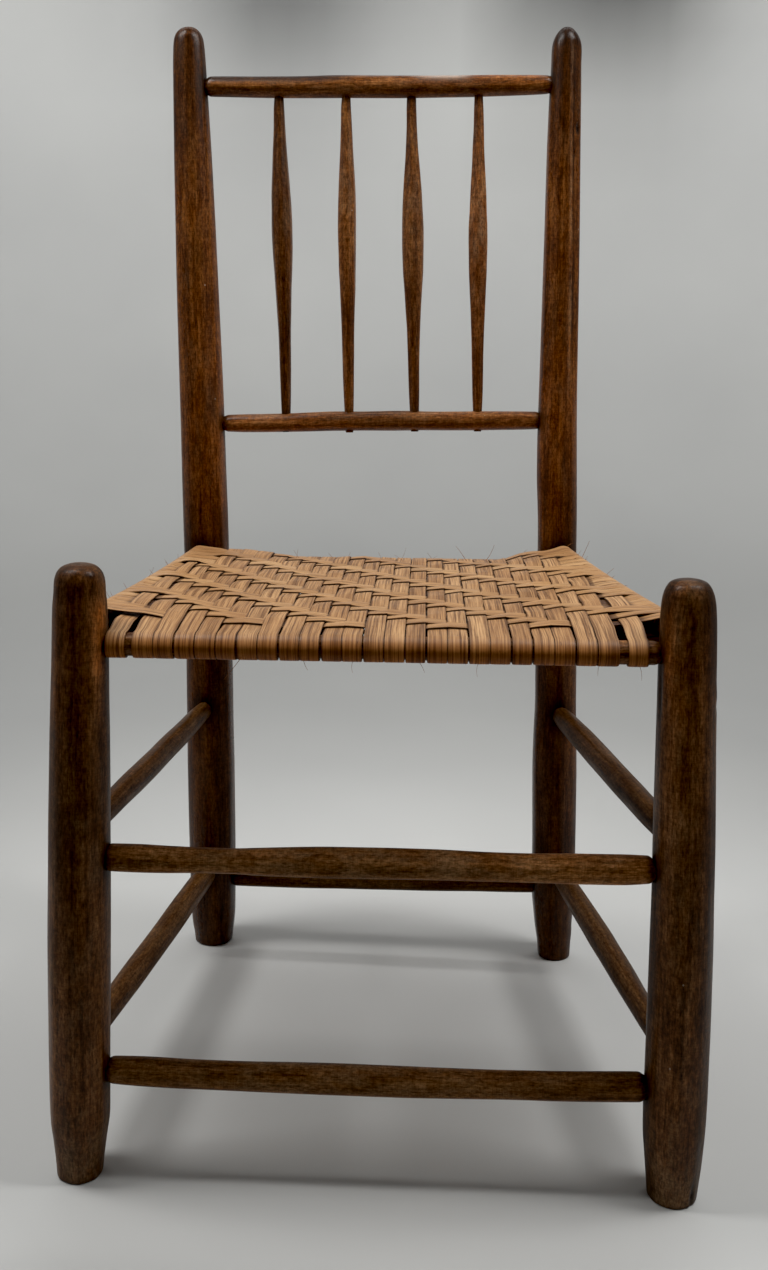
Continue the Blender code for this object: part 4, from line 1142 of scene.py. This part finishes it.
def warp_run(k, under):
    """Points of one strand from the front rail's top (or underside) to its end."""
    column = k if under else k - 1
    pick = slice(column * NA, (column + 1) * NA)
    if under:
        x, y, w, there = x_low[pick], y_low[pick], w_low[pick], there_low[column]
        xf = xf_low[pick]
    else:
        x, y, w, there = x_top[pick], y_top[pick], w_top[pick], there_top[column]
        xf = xf_top[pick]
    last = int(there.sum()) * NA
    x, y, w = x[:, :last].T, y[:, :last].T, w[:, :last].T
    yf, zf = by_x(F0, F1, xf)
    lead = np.linspace(0, 1, 8)[1:-1]
    x_lead = xf[None, :] + (x[0] - xf)[None, :] * lead[:, None]
    y_lead = yf[None, :] + (y[0] - yf)[None, :] * lead[:, None]
    w_lead = w[0][None, :] * ease(lead, 0.0, 1.0)[:, None]
    x, y, w = np.concatenate([x_lead, x]), np.concatenate([y_lead, y]), np.concatenate([w_lead, w])
    full = last == NV
    if not full:
        x = squeeze(x, y)
    z = base(x, y, under, False) + w
    if k == 1 and not under:  # the corner strand hangs a little under the first rows
        z -= 0.0016 * np.sin(np.pi * np.clip((y - yf[None, :]) / 0.062, 0, 1)) ** 1.2
    hidden = (over_low if under else over_top)[column][: int(there.sum())] < 0
    crevice_shade = np.concatenate([np.repeat(RIM[None, :], len(lead), 0), crevice(hidden, NA)])
    return tucked(np.stack([x, y, z], -1), crevice_shade), full


def wrap(x, a, b, start, stop, count, lift):
    """Round the front or back rail at the x of each edge sample, angle from the top towards -Y."""
    y, z = by_x(a, b, x)
    rows = []
    for angle in np.linspace(start, stop, count):
        radius = ROLL + lift
        rows.append(np.stack([x, y - np.sin(angle) * radius, z + np.cos(angle) * radius], -1))
    return np.array(rows)


def strip_from(parts, ident, tones, under_shade_and_ids):
    joined = np.concatenate(parts)
    place, crevice_shade = joined[..., :3], joined[..., 3]
    step = np.linalg.norm(np.diff(place[:, NA // 2], axis=0), axis=1)
    length = np.concatenate([[0], np.cumsum(step)]) + ident * 0.713
    return {
        "place": place,
        "normal": normals_of(place),
        "length": length,
        "id": np.concatenate([np.full(len(p), float(i)) for p, i in zip(parts, under_shade_and_ids[1])]),
        "tone": np.concatenate([np.full(len(p), t) for p, t in zip(parts, tones)]),
        "under": np.concatenate(under_shade_and_ids[0]),
        "crevice_shade": crevice_shade,
        "width": 0.0142,
    }


warp_tone = seat_rng.uniform(0.28, 0.72, 60)
weft_tone = seat_rng.uniform(0.30, 0.70, 60)
warp_lift = seat_rng.uniform(0.0, 0.00045, STRANDS + 2)
warp_tone[20] = 0.28
weft_tone[19], weft_tone[20], weft_tone[21] = 0.26, 0.16, 0.10


def thin_low(points):
    """Every second station of a hidden run, with both ends kept."""
    keep = np.zeros(len(points), bool)
    keep[::2] = True
    keep[0] = keep[-1] = True
    return points[keep]


def front_wrap(k):
    xf = xf_top[(k - 1) * NA : k * NA]
    tilt = np.linspace(-1, 1, NA) * seat_rng.uniform(-0.00022, 0.00022)
    count = 15
    rows = wrap(xf, F0, F1, math.pi, 0.0, count, 0.0)
    bulge = np.sin(np.linspace(0, np.pi, count)) ** 0.8
    y, z = by_x(F0, F1, xf)
    out = rows - np.stack([xf, y, z], -1)[None]
    size = np.linalg.norm(out[:, :, 1:], axis=2, keepdims=True)
    out[:, :, 1:] *= 1 + (bulge[:, None, None] * (warp_lift[k] + tilt)[None, :, None]) / size
    return tucked(np.stack([xf, y, z], -1)[None] + out, RIM[None, :])


def back_wrap(k):
    xb = xb_top[(k - 1) * NA : k * NA]
    return tucked(wrap(xb, B0, B1, 0.0, -math.pi, 13, 0.0))


def low_run_from_back(k):
    """The underside pass that leads from the back rail (strand k) to the front rail (strand k + 1)."""
    points, _ = warp_run(k, True)
    return thin_low(points)[::-1]


warps = []
# one long splint, wound from strand 3 to strand 23
parts, tones, ids = [], [], []
tail, _ = warp_run(2, True)
parts.append(thin_low(tail)[::-1])
tones.append(warp_tone[3])
ids.append(3)
for k in range(3, 24):
    parts += [front_wrap(k), warp_run(k, False)[0]]
    tones += [warp_tone[k]] * 2
    ids += [k, k]
    if k < 23:
        parts += [back_wrap(k), low_run_from_back(k)]
        tones += [warp_tone[k]] * 2
        ids += [k, k]


def marks(parts, kinds):
    """Painted shade per run: 0.62 along runs beneath the seat, up to 1 low on a turn round a rail, none on top, easing
    between.
    """
    out = []
    for p, kind in zip(parts, kinds):
        n = len(p)
        if kind == "low":
            out.append(np.full(n, 0.62))
        elif kind == "top":
            out.append(np.zeros(n))
        elif kind == "up":  # from the underside to the top
            t = np.linspace(0, 1, n)
            out.append(mix(0.62, 1.0, ease(t, 0.0, 0.16)) * (1 - ease(t, 0.40, 0.96)))
        else:  # from the top to the underside
            out.append(0.62 * ease(np.linspace(0, 1, n), 0.38, 0.82))
    return out


kinds = ["low"]
for k in range(3, 24):
    kinds += ["up", "top"]
    if k < 23:
        kinds += ["down", "low"]
warps.append(strip_from(parts, 1, tones, (marks(parts, kinds), ids)))
for k in (1, 2, 24, 25):
    tail, _ = warp_run(k - 1, True)
    parts = [thin_low(tail)[::-1], front_wrap(k), warp_run(k, False)[0]]
    warps.append(
        strip_from(parts, k, [warp_tone[k]] * 3, (marks(parts, ["low", "up", "top"]), [k] * 3))
    )
build("seat_warp_weave", warps, "warp", "seat_warp_splint")


def weft_run(r, under):
    """Points of one row from the left rail to the right, with the run down to each rail."""
    pick = slice((r - 1) * NA, r * NA)
    if under:
        x, y, f = x_low[:, pick], y_low[:, pick], f_low[:, pick]
    else:
        x, y, f = x_top[:, pick], y_top[:, pick], f_top[:, pick]
    crossed = x[np.repeat((there_low if under else there_top)[:, r - 1] > 0, NA)]
    beyond = np.maximum(crossed[0] - x, x - crossed[-1])
    f = f * (1 - ease(beyond, 0.0, 0.0090))
    sign = -1.0 if under else 1.0
    ends = []
    for side in (-1, 1):
        column = y[0] if side < 0 else y[-1]
        x0, z0, lean = leaves(column, side, under)
        for _ in range(3):
            x_end = x0 - side * sign * np.sin(lean) * ROLL
            xl, _z = by_y(L0, L1, column)
            xr, _z = by_y(R0, R1, column)
            if under:
                slip = np.clip((xr - x_end) / (xr - xl), 0, 1)
            else:
                slip = 0.0
            gap = 0.008 if under else 0.026
            rows = r - 1 + gap + (1 - 2 * gap) * (ACROSS + 1) / 2
            column = row_line(rows + slip, x_end, column)
            x0, z0, lean = leaves(column, side, under)
        ends.append((x_end, column, z0 + sign * np.cos(lean) * ROLL, x0, z0, lean))
    low, high = ends[0][0].max() + 0.0012, ends[1][0].min() - 0.0012
    good = (x.min(1) > low) & (x.max(1) < high)
    x, y, f = x[good], y[good], f[good]
    z = base(x, y, under, True) + f
    state = over_low if under else over_top
    meets = there_low if under else there_top
    hidden = (state[:, r - 1] > 0) & (meets[:, r - 1] > 0)
    body = tucked(np.stack([x, y, z], -1), crevice(hidden, NA)[good])
    done = [body]
    for side, (xe, ye, ze, *_rest) in zip((-1, 1), ends):
        edge = body[0] if side < 0 else body[-1]
        count = max(2, int(abs(edge[:, 0].mean() - xe.mean()) / 0.0026) + 1)
        share = np.linspace(0, 1, count + 1)[1:]
        fade = f[0] if side < 0 else f[-1]
        rows = []
        for t in share:
            xx, yy = mix(edge[:, 0], xe, t), mix(edge[:, 1], ye, t)
            zz = base(xx, yy, under, True) + fade * (1 - ease(t, 0, 0.5 if under else 1))
            if t == 1:
                zz = ze
            rows.append(np.stack([xx, yy, zz], -1))
        rows = tucked(np.array(rows), (edge[:, 3] * (1 - ease(share, 0, 0.5))[:, None]))
        done = [rows[::-1], *done] if side < 0 else [*done, rows]
    return np.concatenate(done), ends


def side_wrap(side, start_y, end_y, top_lean, low_lean, count=13):
    """Round a side rail from the top to the underside; y moves from one row line to the next."""
    rail = (L0, L1) if side < 0 else (R0, R1)
    rows = []
    for t in np.linspace(0, 1, count)[1:-1]:
        yy = mix(start_y, end_y, ease(t, 0.1, 0.9))
        x0, z0 = by_y(*rail, yy)
        angle = mix(-top_lean, math.pi - low_lean, t)
        swell = 0.0002 * np.sin(np.pi * t)
        rows.append(np.stack([x0 + side * np.sin(angle) * (ROLL + swell), yy, z0 + np.cos(angle) * (ROLL + swell)], -1))
    return tucked(np.array(rows))


tops = {r: weft_run(r, False) for r in range(1, ROWS + 1)}
lows = {r: weft_run(r, True) for r in range(1, ROWS)}
parts, kinds, ids, tones = [], [], [], []
for r in range(1, ROWS + 1):
    top, top_ends = tops[r]
    if r == 1:  # the first row starts from a tail under the left rail
        x_end, y_end, z_end, x0, z0, lean = top_ends[0]
        turn = side_wrap(-1, y_end, y_end, lean, lean)[::-1]
        low_x = x0 - np.sin(lean) * ROLL
        tail = tucked(np.array([np.stack([low_x + d, y_end, z0 - np.cos(lean) * ROLL - d * 0.26 + d * d * 1.3], -1) for d in np.linspace(0.055, 0, 14)]))
        parts += [tail, turn]
        kinds += ["low", "up"]
        ids += [r, r]
        tones += [weft_tone[r]] * 2
    parts.append(top)
    kinds.append("top")
    ids.append(r)
    tones.append(weft_tone[r])
    right = top_ends[1]
    if r < ROWS:
        low, low_ends = lows[r]
        parts += [side_wrap(1, right[1], low_ends[1][1], right[5], low_ends[1][5]), thin_low(low[::-1])]
        next_left = tops[r + 1][1][0]
        parts += [side_wrap(-1, next_left[1], low_ends[0][1], next_left[5], low_ends[0][5])[::-1]]
        kinds += ["down", "low", "up"]
        ids += [r, r, r + 1]
        tones += [weft_tone[r], weft_tone[r], weft_tone[r + 1]]
    else:
        x_end, y_end, z_end, x0, z0, lean = right
        turn = side_wrap(1, y_end, y_end, lean, lean)
        low_x = x0 + np.sin(lean) * ROLL
        tail = tucked(np.array([np.stack([low_x - d, y_end, z0 - np.cos(lean) * ROLL - d * 0.38 + d * d * 1.6], -1) for d in np.linspace(0, 0.055, 14)]))
        parts += [turn, tail]
        kinds += ["down", "low"]
        ids += [r, r]
        tones += [weft_tone[r]] * 2
parts = [p[:, ::-1] for p in parts]  # so that the normals point out of the seat
wefts = [strip_from(parts, 1, tones, (marks(parts, kinds), ids))]

# frayed fibres of the splint: (start, way and length)
FIBRES = [
    ((-0.0882, 0.1350, 0.4100), (-0.0068, 0.0010, 0.0088)), ((-0.0915, 0.1300, 0.4110), (0.0030, 0.0020, 0.0099)),
    ((-0.0086, 0.1350, 0.4095), (-0.0029, 0.0000, 0.0098)), ((0.0087, 0.1350, 0.4097), (0.0086, 0.0010, 0.0109)),
    ((0.0137, 0.1300, 0.4098), (-0.0077, 0.0010, 0.0097)), ((0.0719, 0.1300, 0.4130), (-0.0078, 0.0020, 0.0145)),
    ((0.0919, 0.1300, 0.4140), (0.0093, 0.0000, 0.0127)), ((0.0376, 0.1350, 0.4100), (0.0057, 0.0010, 0.0069)),
    ((-0.1246, 0.1300, 0.4120), (-0.0058, 0.0010, 0.0068)), ((-0.0444, 0.1350, 0.4085), (0.0068, 0.0020, 0.0080)),
    ((0.1232, 0.1300, 0.4170), (0.0065, 0.0000, 0.0078)), ((0.1810, 0.0700, 0.4270), (0.0074, 0.0010, 0.0160)),
    ((0.1914, 0.0000, 0.4300), (0.0066, 0.0010, 0.0062)), ((-0.1980, -0.0300, 0.4280), (0.0074, 0.0010, 0.0076)),
    ((-0.2006, -0.0800, 0.4310), (-0.0040, 0.0010, 0.0049)), ((-0.1960, 0.0300, 0.4240), (-0.0044, 0.0010, 0.0054)),
    ((0.1703, 0.1200, 0.4240), (0.0055, 0.0010, 0.0058)), ((-0.0961, -0.1960, 0.4070), (-0.0117, -0.0060, -0.0163)),
    ((-0.0513, -0.1950, 0.4040), (0.0029, -0.0040, -0.0058)), ((-0.1289, -0.1950, 0.4040), (-0.0030, -0.0030, -0.0060)),
    ((-0.0160, -0.1950, 0.4040), (-0.0014, -0.0040, -0.0066)), ((0.0327, -0.1950, 0.4040), (0.0036, -0.0040, -0.0050)),
    ((0.0739, -0.1950, 0.4040), (-0.0028, -0.0040, -0.0074)), ((0.1212, -0.1950, 0.4050), (0.0029, -0.0040, -0.0065)),
    ((0.1598, -0.1950, 0.4050), (-0.0027, -0.0040, -0.0060)), ((0.1885, -0.1950, 0.4045), (0.0023, -0.0040, -0.0080)),
]
hair_rng = np.random.default_rng(5)
for _ in range(16):
    kind = hair_rng.integers(3)
    if kind == 0:
        x = hair_rng.uniform(-0.15, 0.14)
        y, z = by_x(B0, B1, x)
        start = (x, y + 0.004, z + ROLL - 0.0005)
        way = (hair_rng.uniform(-0.006, 0.006), hair_rng.uniform(-0.002, 0.004), hair_rng.uniform(0.002, 0.007))
    else:
        side = -1 if kind == 1 else 1
        y = hair_rng.uniform(-0.14, 0.11)
        x, z = by_y(L0, L1, y) if side < 0 else by_y(R0, R1, y)
        start = (x + side * 0.003, y, z + ROLL - 0.0008)
        way = (side * hair_rng.uniform(0.000, 0.005), hair_rng.uniform(-0.004, 0.004), hair_rng.uniform(0.002, 0.006))
    FIBRES.append((start, way))
verts, faces = [], []
for start, way in FIBRES:
    start, way = np.array(start, float), np.array(way, float)
    if abs(start[0]) > 0.155 and start[1] > -0.15:
        side = np.sign(start[0])
        x, z = by_y(L0, L1, start[1]) if side < 0 else by_y(R0, R1, start[1])
        start = np.array([x + side * 0.003, start[1], z + ROLL - 0.0008])
    reach = np.linalg.norm(way)
    across = np.cross(way, [0.3, 1.0, 0.2])
    across /= np.linalg.norm(across)
    other = np.cross(way / reach, across)
    bend = hair_rng.uniform(-0.30, 0.30) * reach
    first = len(verts)
    for i, t in enumerate(np.linspace(-0.10, 1, 9)):
        middle = start + way * t + across * bend * t * t + other * bend * 0.4 * math.sin(2.5 * t)
        size = mix(0.00018, 0.00009, max(t, 0)) * (1.5 if reach > 0.0150 else 1.0)
        for a in (0.0, 2.094, 4.189):
            verts.append(middle + size * (math.cos(a) * across + math.sin(a) * other))
        if i:
            a, b = first + 3 * i - 3, first + 3 * i
            faces += [(a + j, a + (j + 1) % 3, b + (j + 1) % 3, b + j) for j in range(3)]
    faces += [(first + 2, first + 1, first), (len(verts) - 3, len(verts) - 2, len(verts) - 1)]
spread = np.array(verts)
fibre_coords = np.stack([spread[:, 0] * 9, spread[:, 2] * 9, spread[:, 1] * 40], -1)
fibres = (spread, faces, fibre_coords, 0.4 + 0.2 * np.sin(spread[:, 0] * 300))
build("seat_weft_weave", wefts, "weft", "seat_weft_splint", fibres)

# ------------------------------------------------------------ floor and light
FLAT, BEND, WALL = 1.45, 1.25, 1.6  # radius of the flat floor, radius of the curve, height of the wall
outline = [(FLAT * k / 40, 0.0) for k in range(41)]
outline += [(FLAT + BEND * math.sin(t), BEND - BEND * math.cos(t)) for t in np.linspace(0, math.pi / 2, 25)[1:]]
outline += [(FLAT + BEND, BEND + WALL * k / 16) for k in range(1, 17)]
outline = np.array(outline)
SECTORS = 180
turn = np.linspace(0, 2 * math.pi, SECTORS, endpoint=False)
rings = np.stack(
    [
        outline[1:, :1] * np.sin(turn)[None, :],
        outline[1:, :1] * np.cos(turn)[None, :],
        np.repeat(outline[1:, 1:], SECTORS, 1),
    ],
    -1,
).reshape(-1, 3)
verts = np.concatenate([rings, [[0.0, 0.0, 0.0]]])
faces = [(len(rings), (j + 1) % SECTORS, j)[::-1] for j in range(SECTORS)]
for i in range(len(outline) - 2):
    a, b = i * SECTORS, (i + 1) * SECTORS
    faces += [(a + j, b + j, b + (j + 1) % SECTORS, a + (j + 1) % SECTORS) for j in range(SECTORS)]
floor = add_mesh("studio_floor", verts, faces)
travel = np.concatenate([[0], np.cumsum(np.hypot(*np.diff(outline, axis=0).T))])
# painted light and shade along the floor and wall: darker from the outer floor up through the curve, lighter high on
# the wall
tone_at = [(0.0, 0.96), (0.30, 1.0), (0.50, 0.88), (0.60, 0.80), (0.75, 0.70), (1.0, 0.62), (1.7, 0.62), (2.08, 0.74), (2.45, 0.84), (2.8, 0.96), (3.1, 1.06), (3.4, 1.22), (4.0, 1.2), (6.0, 1.2)]
shade = pchip([t for t, _ in tone_at], [v for _, v in tone_at], np.clip(travel[1:], 0, 5.9))
round_back = (turn + math.pi) % (2 * math.pi) - math.pi
# a painted dark patch high on the wall behind the chair
up_wall = np.interp(travel[1:], [2.80, 3.08, 3.35, 3.60, 3.85, 4.50], [0, 0.08, 0.36, 1.0, 1.0, 0])
along_wall = np.interp(
    round_back,
    [-0.46, -0.29, -0.17, -0.12, -0.04, 0.03, 0.10, 0.19, 0.24, 0.33, 0.46],
    [0, 0.15, 0.66, 0.66, 0.38, 0.27, 0.58, 0.76, 0.70, 0.15, 0],
)
dim = up_wall[:, None] * along_wall[None, :]
across, back = outline[1:, :1] * np.sin(turn)[None, :], outline[1:, :1] * np.cos(turn)[None, :]
level = (1 - ease(travel[1:], 0.9, 1.5))[:, None]
# a painted soft shadow of the chair on the floor just in front of it
painted_chair_shadow = ease(-back, 0.185, 0.32) * (1 - ease(np.abs(across + 0.02), 0.17, 0.32)) * level
# painted pools of light on the floor behind the chair, on both sides
painted_light_pools = 0.20 * np.exp(-(((across - 0.46) / 0.20) ** 2) - ((back - 0.22) / 0.26) ** 2)
painted_light_pools = level * (painted_light_pools + 0.09 * np.exp(-(((across + 0.46) / 0.20) ** 2) - ((back - 0.30) / 0.20) ** 2))
shade = np.concatenate([(shade[:, None] * (1 - dim) * (1 - 0.26 * painted_chair_shadow) * (1 + painted_light_pools)).ravel(), [0.96]])
attribute(floor, "shade", shade)
paper = Nodes("studio_paper")
where = paper.make("ShaderNodeTexCoord", 3)
mottle = paper.noise(paper.stretch(where, (1.6, 1.6, 1.6)), 1.0, 3.0, 0.5)
pale = paper.ramp(mottle, [(0.3, (0.60, 0.61, 0.61)), (0.7, (0.66, 0.67, 0.665))])
toned = paper.make("ShaderNodeVectorMath", 0, {0: pale, 3: paper.read("shade", 2)}, operation="SCALE")
paper.put(paper.shader.inputs["Base Color"], toned)
paper.put(paper.shader.inputs["Roughness"], paper.band(mottle, 0.2, 0.8, 0.62, 0.75))
floor.data.materials.append(paper.material)
floor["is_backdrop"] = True

black = Nodes("black_flag")
black.shader.inputs["Base Color"].default_value = (0.012, 0.012, 0.012, 1.0)
black.shader.inputs["Roughness"].default_value = 0.9
black.shader.inputs["Specular IOR Level"].default_value = 0.0
black.put(black.shader.inputs["Alpha"], black.read("cover", 2))
steps = 24
for label in ("flag_front", "flag_floor"):
    corners, cover = [], []
    for j in range(steps + 1):
        for i in range(steps + 1):
            u, v = i / steps, j / steps
            if label == "flag_front":
                x, z = mix(-1.9, 1.9, u), mix(0.01, 2.3, v)
                corners.append((x, -1.75, z))
                cover.append((1 - ease(abs(x), 1.1, 1.9)) * (1 - ease(z, 1.3, 2.3)))
            else:
                x, y = mix(-1.6, 1.6, u), mix(-1.70, -0.44, v)
                corners.append((x, y, 0.006))
                cover.append((1 - ease(abs(x), 0.9, 1.6)) * ease(-y, 0.44, 0.80) * (1 - ease(-y, 1.25, 1.70)))
    cells = [(j * (steps + 1) + i, j * (steps + 1) + i + 1, (j + 1) * (steps + 1) + i + 1, (j + 1) * (steps + 1) + i) for j in range(steps) for i in range(steps)]
    flag = add_mesh(label, corners, cells, False)
    attribute(flag, "cover", np.array(cover))
    flag.data.materials.append(black.material)
    flag.visible_camera = False
    flag.visible_shadow = False
    flag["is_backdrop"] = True

world = bpy.data.worlds.new("studio")
bpy.context.scene.world = world
world.use_nodes = True
sky = world.node_tree.nodes["Background"]
sky.inputs["Color"].default_value = (0.92, 0.96, 1.0, 1.0)
sky.inputs["Strength"].default_value = 0.05


def softbox(name, place, aim, size, power, tint=(1.0, 0.985, 0.96)):
    data = bpy.data.lights.new(name, "AREA")
    data.shape = "RECTANGLE"
    data.size, data.size_y = size
    data.energy = power
    data.color = tint
    lamp = bpy.data.objects.new(name, data)
    bpy.context.scene.collection.objects.link(lamp)
    lamp.location = place
    from mathutils import Vector

    lamp.rotation_mode = "QUATERNION"
    lamp.rotation_quaternion = (Vector(aim) - Vector(place)).to_track_quat("-Z", "Y")
    return lamp


softbox("softbox_left", (-0.85, -0.12, 1.90), (0.0, 0.0, 0.35), (0.45, 0.9), 18.5)
softbox("softbox_right", (0.85, -0.12, 1.90), (0.0, 0.0, 0.35), (0.45, 0.9), 18.5)
softbox("softbox_back", (0.0, 1.00, 2.30), (0.0, 2.2, 1.0), (2.4, 0.5), 22)

# -------------------------------------------------------------------- camera
lens = bpy.data.cameras.new("camera")
camera = bpy.data.objects.new("camera", lens)
bpy.context.scene.collection.objects.link(camera)
camera.location = (0.04371, -1.12565, 0.67151)
camera.rotation_euler = (math.radians(83.0), 0.0, math.radians(4.0))
lens.lens = 37.70
lens.sensor_width = 36.0
lens.sensor_fit = "AUTO"
lens.shift_x = 0.0307
lens.shift_y = -0.1446
lens.clip_start, lens.clip_end = 0.05, 30.0
bpy.context.scene.camera = camera
bpy.context.scene.view_settings.view_transform = "Standard"
bpy.context.scene.view_settings.look = "None"
bpy.context.scene.view_settings.use_curve_mapping = True
bpy.context.scene.view_settings.curve_mapping.black_level = (0.004, 0.004, 0.004)
bpy.context.scene.view_settings.curve_mapping.update()

bpy.context.view_layer.update()
low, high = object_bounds()
